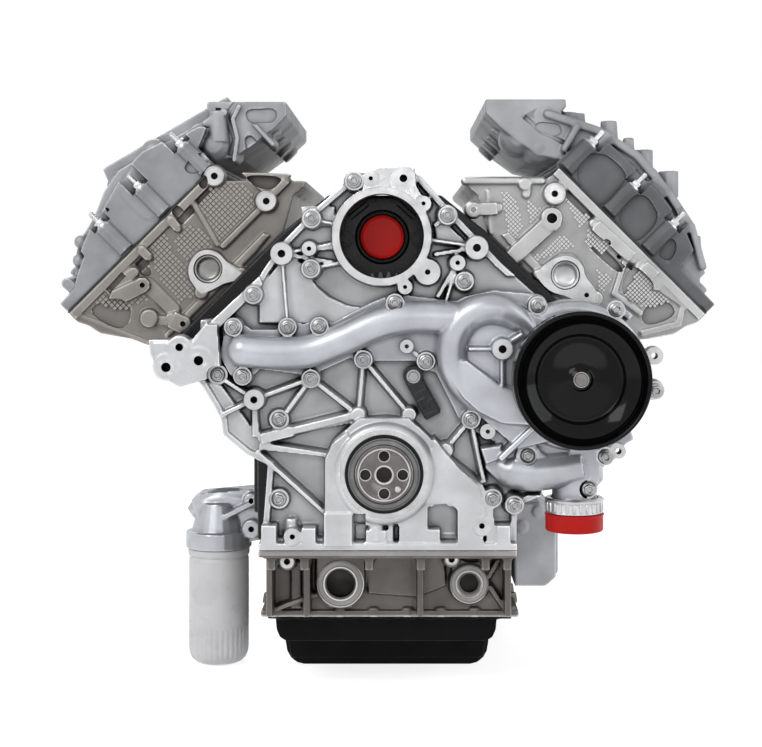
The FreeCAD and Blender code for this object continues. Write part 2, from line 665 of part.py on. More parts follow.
def coolant_housing():
    """Crossover tube, pump scroll and inlet neck in one casting bolted to the timing cover."""
    pieces = [prism(HOUSING_FLANGE, 27, COVER_WEB_FRONT)]
    pieces.append(round_pipe(CROSSOVER, CROSSOVER_RADIUS, 13))
    pieces.append(bar((-186, 149.5), CROSSOVER[0], 28, -2, 28))
    pieces.append(prism(VOLUTE, 2, COVER_WEB_FRONT))
    pieces.append(prism(inset(VOLUTE, 7), -10, 3))
    nose = [(0, -30), (30, -30), (62, 6), (89, 6), (89, COVER_WEB_FRONT), (0, COVER_WEB_FRONT)]
    pieces.append(moved(turned(nose), PULLEY_X, 0, PULLEY_Z))
    pieces.append(prism(INLET_BODY, 8, COVER_WEB_FRONT))
    neck = [(0, CAP_TOP), (NECK_RADIUS, CAP_TOP), (NECK_RADIUS, CAP_TOP + 62), (0, CAP_TOP + 62)]
    pieces.append(moved(turned(neck, ROUND_SIDES, True), NECK_X, NECK_Y - 6, 0))
    pieces += [post(x, z, 11, 18, COVER_WEB_FRONT) for x, z in HOUSING_BOLTS]
    pieces += [post(140, 150, 12, -12, 0), post(27, 152, 9, 16, 30), post(323, 141, 11, 10, 30),
               bar((300, 138), (323, 141), 16, 12, 30), bar((290, 110), (325, 99), 18, 18, 40),
               bar((238, 30), (245, -19), 20, 18, 40), bar((256, 34), (284, 25), 17, 18, 40)]
    body = fuse(pieces)
    tools = [box((0, 400), (COVER_WEB_FRONT, 120), (12, 300)),
             box((60, 196), (COVER_WEB_FRONT, 120), (-60, 60))]
    tools.append(post(PULLEY_X, PULLEY_Z, IMPELLER_RADIUS + 4, 12, COVER_WEB_FRONT + 1, SHAFT_SIDES))
    tools.append(rod(PULLEY_X, PULLEY_Z, PUMP_SHAFT_RADIUS + RUNNING_FIT, -31, 13))
    tools.append(prism([(116, 140), (116, 168), (128, 184), (154, 176), (160, 140)], -11, 4))
    tools.append(prism([(112, 132), (160, 132), (160, 104), (124, 118)], -11, 4))
    inner = NECK_RADIUS - 5
    mouth = [(0, CAP_TOP - 1), (inner, CAP_TOP - 1), (inner, CAP_TOP + 43), (0, CAP_TOP + 43)]
    tools.append(moved(turned(mouth, ROUND_SIDES, True), NECK_X, NECK_Y - 6, 0))
    tools += [post(x, z, 4.5, 0, 100, HOLE_SIDES) for x, z in HOUSING_BOLTS]
    tools += [post(x, z, 9.5, -40, 18) for x, z in HOUSING_BOLTS]
    tools += [post(140, 150, 5, -13, 12, HOLE_SIDES), post(323, 141, 4, 0, 40, HOLE_SIDES),
              post(281, 26, 3.5, 0, 41, HOLE_SIDES)]
    return cut(body, tools)


def coolant_housing_bolts():
    """Bolts of the coolant housing."""
    return Part.makeCompound([bolt(x, z, 8, 18, COVER_WEB_FRONT) for x, z in HOUSING_BOLTS])


def water_pump_shaft():
    """Pump shaft from the impeller to the stub that stands out of the pulley."""
    return rod(PULLEY_X, PULLEY_Z, PUMP_SHAFT_RADIUS, -56, 36)


def impeller():
    """Disc with six curved vanes."""
    pieces = [post(PULLEY_X, PULLEY_Z, IMPELLER_RADIUS, 30, 34, SHAFT_SIDES),
              post(PULLEY_X, PULLEY_Z, 15, 16, 34, SHAFT_SIDES)]
    for i in range(6):
        a = math.radians(60 * i)
        b = a + math.radians(34)
        start = (PULLEY_X + 12 * math.cos(a), PULLEY_Z + 12 * math.sin(a))
        end = (PULLEY_X + 37 * math.cos(b), PULLEY_Z + 37 * math.sin(b))
        pieces.append(bar(start, end, 3.5, 16, 31))
    return fuse(pieces).cut(seat(PULLEY_X, PULLEY_Z, PUMP_SHAFT_RADIUS, 0, 50, SHAFT_SIDES))


def water_pump_pulley():
    """Pressed-steel pulley with a smooth rim and a dished face."""
    rim = PULLEY_RADIUS
    profile = [(0, -47), (26, -47), (50, -40), (rim - 6, -66),
               (rim - 4, PULLEY_FRONT), (rim, PULLEY_FRONT), (rim, PULLEY_BACK), (rim - 4, PULLEY_BACK),
               (rim - 6, -58), (50, -35.5), (24, -42), (0, -42)]
    disc = moved(turned(profile, 2 * SHAFT_SIDES + 4), PULLEY_X, 0, PULLEY_Z)
    return disc.cut(seat(PULLEY_X, PULLEY_Z, PUMP_SHAFT_RADIUS, -50, -40, SHAFT_SIDES))


def coolant_cap():
    """Shipping cap pushed over the mouth of the coolant neck."""
    plug_radius = NECK_RADIUS - 5 - RUNNING_FIT
    profile = [(0, CAP_TOP - 22), (34, CAP_TOP - 22), (35, CAP_TOP - 20), (35, CAP_TOP),
               (plug_radius, CAP_TOP), (plug_radius, CAP_TOP + 12), (0, CAP_TOP + 12)]
    return moved(turned(profile, ROUND_SIDES, True), NECK_X, NECK_Y - 6, 0)


def pump_bore_plug():
    """Round shipping plug in the block behind the fuel-pump opening."""
    return post(PUMP_BORE_X, PUMP_BORE_Z, PLUG_SEAT_RADIUS - RUNNING_FIT, 78, BLOCK_FRONT + 11, ROUND_SIDES)


# ---------------------------------------------------------------- seals and sensor
def crank_seals():
    """Lip seals round the crankshaft's nose and rear flange."""
    front = post(0, 0, SEAL_BORE_RADIUS, 9, 20, ROUND_SIDES)
    front = front.cut(rod(0, 0, SEAL_LAND_RADIUS + RUNNING_FIT, 8, 21))
    rear = post(0, 0, REAR_SEAL_RADIUS, BLOCK_REAR + 8, BLOCK_REAR + 20, ROUND_SIDES)
    rear = rear.cut(rod(0, 0, REAR_FLANGE_RADIUS + RUNNING_FIT, BLOCK_REAR + 7, BLOCK_REAR + 21))
    return Part.makeCompound([front, rear])


def crank_sensor():
    """Position sensor held by one bolt beside the seal bell."""
    body = bar((36, 112), (60, 66), 22, 16, COVER_WEB_FRONT)
    eye = post(35, 116, 12, 24, COVER_WEB_FRONT)
    return fuse([body, eye])


def crank_sensor_bolt():
    """Bolt of the crankshaft sensor."""
    return post(35, 116, 7, 10, 16, 6)


# ---------------------------------------------------------------- heads and rocker covers
HEAD_OUTLINE = [(-115, 0), (-157, 24), (-175, 22), (-181, 26), (-110, 97), (-105, 120), (150, 120),
                (150, 104), (143, 90), (140, 74), (119, 44), (100, 23), (94, 0)]
HEAD_LUGS = {"right": ((211, 338, 12), (314, 216, 12), (252, 211, 9), (110, 318, 9), (208, 303, 12)),
             "left": ((215, 361, 9), (150, 330, 12), (306, 224, 10))}
HEAD_BARS = {
    "right": (((162, 262), (204, 300), 20), ((262, 299), (307, 259), 15), ((232, 226), (252, 211), 16),
              ((206, 232), (192, 240), 16), ((319, 246), (334, 232), 22), ((110, 318), (140, 320), 15)),
    "left": (((306, 224), (341, 207), 20), ((272, 308), (262, 296), 11), ((309, 270), (298, 259), 11),
             ((150, 330), (124, 356), 9), ((209, 252), (186, 238), 14), ((270, 181), (252, 172), 22)),
}
ROCKER_OUTLINE = [(-110, 0), (-110, 14), (-103, 17), (-101, 58), (-86, 64), (-30, 66), (10, 64),
                  (50, 58), (84, 44), (86, 17), (150, 15), (150, 0)]
DOME_OUTLINE = [(-140, -8), (-192, -16), (-222, -17), (-235, -4), (-163, 68), (-156, 62), (-155, 50),
                (-104, 64), (-20, 86), (12, 80), (44, 66), (68, 60), (91, 51), (128, 18), (132, 12),
                (-108, 12)]
LID_OUTLINE = [(-4, 108), (7, 80), (-40, 70), (-104, 50), (-150, 30), (-165, 38), (-186, 60)]
TOP_BOSSES = ((-150, 62, 12), (-104, 92, 11), (-70, 88, 8), (-46, 98, 12), (-4, 101, 13), (14, 74, 9),
              (74, 62, 11))


def shifted(points, rise):
    """Bank outline raised along the cylinder axis."""
    return [(u, v + rise) for u, v in points]


def drilled(x, y, z, radius, depth):
    """Round tool for a blind hole drilled down from a horizontal face."""
    return Part.makeCylinder(radius, depth + 1, vec(x, y, z + 1), vec(0, 0, -1))


def sunk(x, y, z, radius, depth, sides=HOLE_SIDES):
    """Tool with few sides for a pocket sunk down from a horizontal face."""
    loop = [vec(px, py, z + 1) for px, py in regular_outline(x, y, radius, sides, math.pi / sides)]
    return Part.Face(Part.makePolygon(loop + loop[:1])).extrude(vec(0, 0, -depth - 1))


def head_port_positions(side):
    """Distances of the exhaust ports, one for each cylinder."""
    return [y + 4 for y in bore_positions(side)]


def cylinder_head(side):
    """Aluminium head: deck, belly, exhaust flange toward the valley and machined cover rail."""
    front = BANK_FRONT[side]
    rear = front + HEAD_LENGTH
    base = DECK_HEIGHT + HEAD_GASKET
    outline = bank_outline(shifted(HEAD_OUTLINE, base), side)
    body = prism(outline, front, rear)
    tools = []
    x, z = exhaust_centre(side)
    ports = head_port_positions(side)
    for y in ports:
        tools.append(sunk(x, y, z, 19, 34, SHAFT_SIDES))
        for dx in (-EXHAUST_ROW_SPACING / 2, EXHAUST_ROW_SPACING / 2):
            if y in (ports[0], ports[-1]):
                tools.append(drilled(x + dx, y, z, EXHAUST_HOLE_RADIUS, 16))
            else:
                tools.append(sunk(x + dx, y, z, EXHAUST_HOLE_RADIUS, 16))
    sign = 1 if side == "right" else -1
    tools.append(post(sign * 225, 240, 18, front - 9, front + 4, SHAFT_SIDES))
    slot = [(20, base + 92), (96, base + 92), (96, base + 104), (20, base + 104)]
    tools.append(prism(bank_outline(slot, side), front - 1, front + 12))
    slot = [(-96, base + 98), (-30, base + 98), (-30, base + 108), (-96, base + 108)]
    tools.append(prism(bank_outline(slot, side), front - 1, front + 8))
    lugs = [post(sign * x, z, r, front - 8, front + 2) for x, z, r in HEAD_LUGS[side]]
    lugs += [bar((sign * ax, az), (sign * bx, bz), width, front - 7, front + 2)
             for (ax, az), (bx, bz), width in HEAD_BARS[side]]
    lugs.append(post(sign * 225, 240, 25, front - 3, front + 1, SHAFT_SIDES))
    return fuse([body] + lugs).cut(Part.makeCompound(tools))


def exhaust_centre(side):
    """Front-view (x, z) of the exhaust flange's port centres."""
    x, z = bank_point(-146, DECK_HEIGHT + HEAD_GASKET + 61, side)
    return x, z


def head_gasket(side):
    """Sheet gasket between deck and head, open over each bore."""
    front = BANK_FRONT[side]
    outline = bank_outline([(-110, DECK_HEIGHT), (88, DECK_HEIGHT), (88, DECK_HEIGHT + HEAD_GASKET),
                            (-110, DECK_HEIGHT + HEAD_GASKET)], side)
    sheet = prism(outline, front, front + HEAD_LENGTH)
    holes = [bank_post(0, y, BORE / 2 + 1, DECK_HEIGHT - 1, DECK_HEIGHT + 3, side, SHAFT_SIDES)
             for y in bore_positions(side)]
    return cut(sheet, holes)


def core_plugs():
    """Pressed core plugs in the front of both heads."""
    return Part.makeCompound([post(sign * 225, 240, 18, front, front + 4, SHAFT_SIDES) for sign, front in
                              ((1, BANK_FRONT["right"]), (-1, BANK_FRONT["left"]))])


def rocker_cover_gasket(side):
    """Gasket between head and rocker cover."""
    front = BANK_FRONT[side]
    low = DECK_HEIGHT + HEAD_GASKET + HEAD_HEIGHT
    top = low + COVER_GASKET
    outer = bank_outline([(-105, low), (150, low), (150, top), (-105, top)], side)
    inner = bank_outline([(-92, low - 1), (137, low - 1), (137, low + 3), (-92, low + 3)], side)
    return prism(outer, front, front + HEAD_LENGTH).cut(prism(inner, front + 13, front + HEAD_LENGTH - 13))


def rocker_cover(side):
    """Cast cover over the valve gear that also carries the inlet plenum and its flange."""
    front = BANK_FRONT[side] + 2
    rear = BANK_FRONT[side] + HEAD_LENGTH - 2
    low = DECK_HEIGHT + HEAD_GASKET + HEAD_HEIGHT + COVER_GASKET
    lower = prism(bank_outline(shifted(ROCKER_OUTLINE, low), side), front, rear)
    dome = prism(bank_outline(shifted(DOME_OUTLINE, low), side), front + 24, rear - 24)
    posts = []
    for u in COVER_STUDS:
        for y in (front + 4, rear - 4):
            posts.append(bank_post(u, y, 13, low + 3, low + 46, side, BOSS_SIDES))
    for y in bore_positions(side):
        posts.append(bank_post(112, y - 57 + BORE_SPACING / 2, 12, low + 10, low + 44, side, BOSS_SIDES))
        posts.append(bank_post(-60, y, 12, low + 60, low + 88, side, BOSS_SIDES))
    if side == "left":
        posts.append(prism(bank_outline(shifted(LID_OUTLINE, low), side), front + 60, rear - 24))
    else:
        posts += top_bosses(front + 60, low)
    body = fuse([lower, dome] + posts)
    x, z = inlet_centre(side)
    tools = [bank_post(u, y, 14, low + 46, low + 90, side, BOSS_SIDES) for u in COVER_STUDS
             for y in (front + 4, rear - 4)]
    tools += [box((x - 26, x + 26), (y - 30, y + 30), (z - 30, z + 1)) for y in inlet_positions(side)]
    half = INLET_HOLE_SPACING / 2
    first, last = inlet_positions(side)
    for dx in (-half, half):
        tools += [drilled(x + dx, y, z, INLET_HOLE_RADIUS, 13) for y in (first - half, last + half)]
        tools += [sunk(x + dx, y, z, INLET_HOLE_RADIUS, 13) for y in (first + half, last - half)]
    return cut(body, tools)


def top_bosses(y, low):
    """Upright bosses along the top of the right cover's front."""
    bosses = []
    for u, v, radius in TOP_BOSSES:
        x, z = bank_point(u, low + v)
        corners = regular_outline(x, y, radius, BOSS_SIDES, math.pi / BOSS_SIDES)
        loop = [vec(px, py, z) for px, py in corners]
        bosses.append(Part.Face(Part.makePolygon(loop + loop[:1])).extrude(vec(0, 0, -34)))
    return bosses


def inlet_centre(side):
    """Front-view (x, z) of the inlet flange's middle."""
    low = DECK_HEIGHT + HEAD_GASKET + HEAD_HEIGHT + COVER_GASKET
    return bank_point(-199, low + 32, side)


def inlet_positions(side):
    """Distances of the two inlet ports."""
    ys = bore_positions(side)
    return [(ys[0] + ys[1]) / 2, (ys[2] + ys[3]) / 2]


def rocker_cover_studs(side):
    """Studs and nuts on top of the cover's corner posts."""
    front = BANK_FRONT[side] + 2
    rear = BANK_FRONT[side] + HEAD_LENGTH - 2
    low = DECK_HEIGHT + HEAD_GASKET + HEAD_HEIGHT + COVER_GASKET + 46
    studs = []
    for u in COVER_STUDS:
        for y in (front + 4, rear - 4):
            studs.append(bank_post(u, y, 9, low, low + 9, side, 6).fuse(
                bank_post(u, y, 3.5, low + 9, low + 24, side, 6)))
    return Part.makeCompound(studs)


# ---------------------------------------------------------------- oil pans, filter and cooler
def upper_oil_pan():
    """Cast aluminium upper pan: open frame with a front wall that carries two ports."""
    pieces = [box((-151, 159), (BOSS_FRONT, BLOCK_REAR), (-101, PAN_RAIL_Z))]
    pieces.append(box((-146, 156), (UPPER_PAN_FRONT, BLOCK_REAR), (-186, -100)))
    pieces.append(box((-155, 167), (UPPER_PAN_FRONT - 4, BLOCK_REAR), (UPPER_PAN_BOTTOM, -182)))
    front = UPPER_PAN_FRONT
    tab = prism([(-84, -101), (-26, -101), (-26, -158), (-42, -176), (-68, -176), (-84, -158)],
                front - 14, front + 1)
    pieces += [tab, post(105, -147, 24, front - 10, front + 1, SHAFT_SIDES),
               post(-121, -118, 11, front - 18, front + 1),
               post(83, -116, 11, front - 14, front + 1)]
    pieces += [box((x, x + 8), (70, front + 1), (-184, -100)) for x in (-146, -100, 40, 148)]
    body = fuse(pieces)
    tools = [box((-128, 138), (front + 8, BLOCK_REAR - 14), (-195, -80))]
    tools.append(box((-100, 100), (34, front + 20), (-98, -91)))
    tools.append(post(-55, -146, 17.8, 0, front + 4, SHAFT_SIDES))
    tools.append(post(105, -147, 11.8, 0, front + 4, SHAFT_SIDES))
    tools.append(box((96, 125), (0, front + 5), (-123, -110)))
    return cut(body, tools)


def lower_oil_pan():
    """Pressed-steel sump with a flat bottom that the engine stands on."""
    top = UPPER_PAN_BOTTOM
    flange = box((-153, 165), (UPPER_PAN_FRONT, BLOCK_REAR), (top - 5, top))
    outline = [(-139, top - 4), (142, top - 4), (136, SUMP_BOTTOM + 14), (124, SUMP_BOTTOM),
               (-121, SUMP_BOTTOM), (-133, SUMP_BOTTOM + 14)]
    deep = prism(outline, SUMP_FRONT, SUMP_REAR)
    shelf = [(-139, top - 4), (142, top - 4), (138, top - 34), (-134, top - 34)]
    shallow = prism(shelf, 120, SUMP_FRONT + 2)
    inner = prism([(-135, top + 1), (138, top + 1), (130, SUMP_BOTTOM + 5), (-127, SUMP_BOTTOM + 5)],
                  SUMP_FRONT + 5, SUMP_REAR - 5)
    inner_shelf = [(-135, top + 1), (138, top + 1), (134, top - 30), (-130, top - 30)]
    inner_front = prism(inner_shelf, 125, SUMP_FRONT + 6)
    return cut(fuse([flange, deep, shallow]), [inner, inner_front])


def drain_plug():
    """Hexagon drain plug low on the sump's rear wall."""
    return post(30, SUMP_BOTTOM + 34, 12, SUMP_REAR, SUMP_REAR + 12, 6)


def oil_filter():
    """Spin-on filter canister with a rolled rim and a domed end."""
    r = FILTER_RADIUS
    top = FILTER_TOP
    low = top - FILTER_LENGTH
    profile = [(0, top), (r, top), (r, top - 10), (r - 1.5, top - 13), (r - 1.5, low + 14), (r - 7, low + 3),
               (r - 14, low), (0, low)]
    return moved(turned(profile, ROUND_SIDES, True), FILTER_X, FILTER_Y, 0)


def oil_filter_adapter():
    """Casting that carries the filter out from the side of the block."""
    profile = [(0, FILTER_TOP), (FILTER_RADIUS + 3, FILTER_TOP), (FILTER_RADIUS + 3, FILTER_TOP + 22),
               (FILTER_RADIUS - 4, FILTER_TOP + 22), (26, FILTER_TOP + 60), (0, FILTER_TOP + 60)]
    collar = moved(turned(profile, ROUND_SIDES, True), FILTER_X, FILTER_Y, 0)
    arm = prism([(-262, -66), (-250, -58), (-158, -50), (-158, -118), (-200, -126), (-250, -100)],
                FILTER_Y - 16, FILTER_Y + 34)
    return fuse([collar, arm])


def oil_cooler_housing():
    """Ribbed oil-cooler housing on the right of the crankcase."""
    body = prism([(158, -70), (206, -68), (228, -84), (228, -168), (214, -180), (172, -180), (172, -106),
                  (160, -91.5), (158, -91.5)], 240, 470)
    ribs = [box((226, 232), (y, y + 6), (-166, -88)) for y in range(256, 460, 34)]
    return fuse([body] + ribs)


# ---------------------------------------------------------------- rear end and valley
REAR_PLATE_OUTLINE = [(-150, -92), (150, -92), (190, -60), (196, 40), (186, 120), (150, 190), (90, 236),
                      (-90, 236), (-150, 190), (-186, 120), (-196, 40), (-190, -60)]


def rear_plate():
    """Plate behind the block that the transmission bolts to, with the rear seal's seat."""
    plate = prism(REAR_PLATE_OUTLINE, BLOCK_REAR, BLOCK_REAR + 22)
    tools = [post(0, 0, REAR_SEAL_RADIUS, BLOCK_REAR - 1, BLOCK_REAR + 30, ROUND_SIDES)]
    for x in (-BELL_SPACING_X / 2, BELL_SPACING_X / 2):
        for z in (BELL_LOW_Z, BELL_LOW_Z + BELL_SPACING_Z):
            tools.append(rod(x, z, BELL_HOLE_RADIUS, BLOCK_REAR - 1, BLOCK_REAR + 30))
    return cut(plate, tools)


def valley_cover():
    """Cast cover over the valley floor with cross ribs and an oil-return boss."""
    half = 78.0
    top = VALLEY_FLOOR_Z + 8
    pieces = [box((-half, half), (BULKHEAD_REAR + 3, BLOCK_REAR - 30), (VALLEY_FLOOR_Z, top))]
    pieces += [box((-half + 4, half - 4), (y, y + 5), (top, top + 10)) for y in range(150, 600, 60)]
    pieces.append(sunk(0, 330, top + 17, 26, 17, SHAFT_SIDES))
    return fuse(pieces)


def oil_pump():
    """Oil pump bolted under the front of the crankcase."""
    return prism([(-40, -98), (40, -98), (46, -130), (20, -160), (-20, -160), (-46, -130)], 118, 160)


def oil_pickup():
    """Pickup tube and strainer that reach down into the sump."""
    return fuse([post(0, -132, 9, 160, 391, BOSS_SIDES), sunk(0, 382, -132, 9, 118, BOSS_SIDES),
                 sunk(0, 382, -251, 34, 12, SHAFT_SIDES)])


def main():
    """Build every sub-part and write its STEP file."""
    os.makedirs("parts", exist_ok=True)
    save(cylinder_block(), "cylinder_block")
    save(main_bearing_caps(), "main_bearing_caps")
    save(main_cap_bolts(), "main_cap_bolts")
    save(crankshaft(), "crankshaft")
    save(nose_dowel(), "nose_dowel")
    save(crank_gear(), "crank_gear")
    save(camshaft(), "camshaft")
    save(cam_gear(), "cam_gear")
    save(cam_gear_bolt(), "cam_gear_bolt")
    number = 0
    for i in range(CYLINDERS_PER_BANK):
        for side in ("right", "left"):
            number += 1
            save(piston(side, bore_positions(side)[i], PIN_ANGLES[i]), "piston_%d" % number)
    save(front_cover(), "front_cover")
    save(front_cover_bolts(), "front_cover_bolts")
    save(coolant_housing(), "coolant_housing")
    save(coolant_housing_bolts(), "coolant_housing_bolts")
    save(water_pump_shaft(), "water_pump_shaft")
    save(impeller(), "water_pump_impeller")
    save(water_pump_pulley(), "water_pump_pulley")
    save(coolant_cap(), "coolant_cap")
    save(pump_bore_plug(), "pump_bore_plug")
    save(crank_seals(), "crank_seals")
    save(crank_sensor(), "crank_sensor")
    save(crank_sensor_bolt(), "crank_sensor_bolt")
    for side in ("right", "left"):
        save(cylinder_head(side), "cylinder_head_" + side)
        save(head_gasket(side), "head_gasket_" + side)
        save(rocker_cover(side), "rocker_cover_" + side)
        save(rocker_cover_gasket(side), "rocker_cover_gasket_" + side)
        save(rocker_cover_studs(side), "rocker_cover_studs_" + side)
    save(core_plugs(), "core_plugs")
    save(upper_oil_pan(), "upper_oil_pan")
    save(lower_oil_pan(), "lower_oil_pan")
    save(drain_plug(), "drain_plug")
    save(oil_filter(), "oil_filter")
    save(oil_filter_adapter(), "oil_filter_adapter")
    save(oil_cooler_housing(), "oil_cooler_housing")
    save(rear_plate(), "rear_plate")
    save(valley_cover(), "valley_cover")
    save(oil_pump(), "oil_pump")
    save(oil_pickup(), "oil_pickup")


main()
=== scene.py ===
"""Looks of a ninety-degree V8 diesel long block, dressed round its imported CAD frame.

Lengths in this file are millimetres in the engine's frame: X to the right seen from the front, Y
rearward along the crankshaft, Z up, with the origin at the crankshaft's nose. They become metres where
a mesh is made. Bank points are (u, v): u outboard of a bank's axis and v up along it.
"""

from __future__ import annotations

import logging
import math
from dataclasses import dataclass, replace
from enum import Enum
from typing import Iterable, Sequence

import bmesh
import bpy
import numpy as np
from mathutils import Matrix, Vector

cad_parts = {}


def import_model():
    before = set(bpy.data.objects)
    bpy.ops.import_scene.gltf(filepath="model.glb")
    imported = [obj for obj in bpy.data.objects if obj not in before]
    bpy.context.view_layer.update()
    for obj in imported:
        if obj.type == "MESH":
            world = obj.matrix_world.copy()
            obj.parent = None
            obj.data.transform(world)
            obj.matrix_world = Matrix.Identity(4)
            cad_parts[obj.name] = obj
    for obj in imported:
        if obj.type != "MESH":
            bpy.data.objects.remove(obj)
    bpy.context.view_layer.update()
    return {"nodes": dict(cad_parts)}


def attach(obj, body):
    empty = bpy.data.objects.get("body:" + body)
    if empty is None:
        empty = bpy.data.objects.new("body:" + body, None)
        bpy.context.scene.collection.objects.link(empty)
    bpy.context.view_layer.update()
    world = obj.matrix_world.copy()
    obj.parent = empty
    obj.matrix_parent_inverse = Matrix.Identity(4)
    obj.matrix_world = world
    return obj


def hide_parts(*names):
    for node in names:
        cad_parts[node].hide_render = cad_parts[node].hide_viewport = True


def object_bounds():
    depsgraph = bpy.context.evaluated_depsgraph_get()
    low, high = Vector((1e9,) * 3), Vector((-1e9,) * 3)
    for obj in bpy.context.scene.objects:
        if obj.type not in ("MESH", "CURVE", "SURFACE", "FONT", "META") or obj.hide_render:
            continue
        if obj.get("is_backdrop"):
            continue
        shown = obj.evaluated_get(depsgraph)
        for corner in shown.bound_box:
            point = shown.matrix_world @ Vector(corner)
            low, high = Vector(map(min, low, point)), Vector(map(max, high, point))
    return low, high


LOG = logging.getLogger("engine")
MM = 0.001
HALF_ROOT = math.sqrt(0.5)
POINT_WELD = 1e-6
FRAME_WELD = 2e-5
SHARP = 38.0
Point = tuple[float, float]
Point3 = tuple[float, float, float]
Form = bpy.types.Object
Material = bpy.types.Material
NodeTree = bpy.types.NodeTree
Node = bpy.types.Node
Socket = bpy.types.NodeSocket
Inputs = dict[str | int, object]


class Side(Enum):
    """The two cylinder banks, as seen from the front."""

    RIGHT = 1
    LEFT = -1

    @property
    def word(self) -> str:
        """Name used in the frame's node names."""
        return self.name.lower()


class Axis(Enum):
    """Direction in which a turned form's axis runs."""

    REARWARD = "y"
    UPWARD = "z"


# ------------------------------------------------------------------ mesh shop
def configure(thing: object, **settings: object) -> object:
    """Set several properties of a thing and hand it back."""
    for key, value in settings.items():
        setattr(thing, key, value)
    return thing


def linked(name: str, data: bpy.types.ID) -> Form:
    """New object of some data, in the scene."""
    obj = bpy.data.objects.new(name, data)
    bpy.context.scene.collection.objects.link(obj)
    return obj


def weld(mesh: bpy.types.Mesh, reach: float, turn_out: bool = False) -> None:
    """Merge points closer than a reach in metres, and turn the faces outwards if asked."""
    bm = bmesh.new()
    bm.from_mesh(mesh)
    bmesh.ops.remove_doubles(bm, verts=bm.verts, dist=reach)
    if turn_out:
        bmesh.ops.recalc_face_normals(bm, faces=bm.faces)
    bm.to_mesh(mesh)
    bm.free()


def new_object(name: str, verts: Iterable[Point3], faces: Iterable[Sequence[int]]) -> Form:
    """Make a linked mesh object from millimetre points.

    Args:
        name: Object name.
        verts: Points in millimetres.
        faces: Corner indices of each face.

    Returns:
        The object, at the origin.
    """
    mesh = bpy.data.meshes.new(name)
    mesh.from_pydata([tuple(c * MM for c in v) for v in verts], [], [tuple(f) for f in faces])
    mesh.validate()
    weld(mesh, POINT_WELD, True)
    return linked(name, mesh)


def lathe(name: str, profile: Sequence[Point], centre: Point3, axis: Axis = Axis.REARWARD,
          segments: int = 96) -> Form:
    """Turn a closed (radius, distance) profile round an axis.

    Args:
        name: Object name.
        profile: Radius and distance along the axis, in order round the section.
        centre: Where distance zero lies.
        axis: Direction of the axis.
        segments: Steps round the circle.

    Returns:
        The turned object.
    """
    verts: list[Point3] = []
    for step in range(segments):
        angle = 2 * math.pi * step / segments
        for radius, along in profile:
            across, rise = radius * math.cos(angle), radius * math.sin(angle)
            local = (across, along, rise) if axis is Axis.REARWARD else (across, rise, along)
            verts.append(tuple(c + d for c, d in zip(centre, local)))
    count = len(profile)
    faces = []
    for step in range(segments):
        ahead = (step + 1) % segments
        for i in range(count):
            j = (i + 1) % count
            if profile[i][0] == 0 and profile[j][0] == 0:
                continue
            faces.append((step * count + i, ahead * count + i, ahead * count + j, step * count + j))
    return new_object(name, verts, faces)


def rounded(outline: Sequence[Point], rounds: int = 2) -> list[Point]:
    """Cut an outline's corners back into curves."""
    points = list(outline)
    for _ in range(rounds):
        cut = []
        for a, b in zip(points, points[1:] + points[:1]):
            cut += [(a[0] * 0.75 + b[0] * 0.25, a[1] * 0.75 + b[1] * 0.25),
                    (a[0] * 0.25 + b[0] * 0.75, a[1] * 0.25 + b[1] * 0.75)]
        points = cut
    return points


def slab(name: str, outline: Sequence[Point], front: float, rear: float, draft: float = 0.0) -> Form:
    """Extrude a front-view outline rearward.

    Args:
        name: Object name.
        outline: (x, z) points.
        front: Y of the front face.
        rear: Y of the rear face.
        draft: How far the rear outline spreads outwards, measured from the outline's middle.

    Returns:
        The extruded object.
    """
    mid_x = sum(p[0] for p in outline) / len(outline)
    mid_z = sum(p[1] for p in outline) / len(outline)
    back = []
    for x, z in outline:
        reach = max(1e-6, math.hypot(x - mid_x, z - mid_z))
        back.append((x + (x - mid_x) / reach * draft, rear, z + (z - mid_z) / reach * draft))
    count = len(outline)
    verts = [(x, front, z) for x, z in outline] + back
    faces: list[Sequence[int]] = [tuple(range(count)), tuple(range(2 * count - 1, count - 1, -1))]
    faces += [(i, (i + 1) % count, (i + 1) % count + count, i + count) for i in range(count)]
    return new_object(name, verts, faces)


def boss(x: float, z: float, radius: float, front: float, rear: float, flare: float = 0.0,
         segments: int = 40) -> Form:
    """Round boss along Y, wider by flare at its rear end."""
    profile = [(0.0, front), (radius, front), (radius + flare, rear), (0.0, rear)]
    return lathe("boss", profile, (x, 0.0, z), Axis.REARWARD, segments)


def rib(start: Point, end: Point, top: float, base: float, front: float, rear: float) -> Form:
    """Straight rib with drafted sides between two (x, z) points."""
    dx, dz = end[0] - start[0], end[1] - start[1]
    length = math.hypot(dx, dz)
    nx, nz = -dz / length / 2, dx / length / 2
    verts = []
    for y, width in ((front, top), (rear, base)):
        for (x, z), sign in ((start, 1), (end, 1), (end, -1), (start, -1)):
            verts.append((x + sign * nx * width, y, z + sign * nz * width))
    faces = [(0, 1, 2, 3), (7, 6, 5, 4), (0, 4, 5, 1), (1, 5, 6, 2), (2, 6, 7, 3), (3, 7, 4, 0)]
    return new_object("rib", verts, faces)


def peg(x: float, y: float, profile: Sequence[Point], segments: int = 28) -> Form:
    """Upright turned form at a place, from its (radius, height) profile."""
    return lathe("peg", profile, (x, y, 0), Axis.UPWARD, segments)


def block(x: Point, y: Point, z: Point) -> Form:
    """Plain block between three pairs of limits, as stock for a casting or a cutter."""
    return slab("block", [(x[0], z[0]), (x[1], z[0]), (x[1], z[1]), (x[0], z[1])], y[0], y[1])


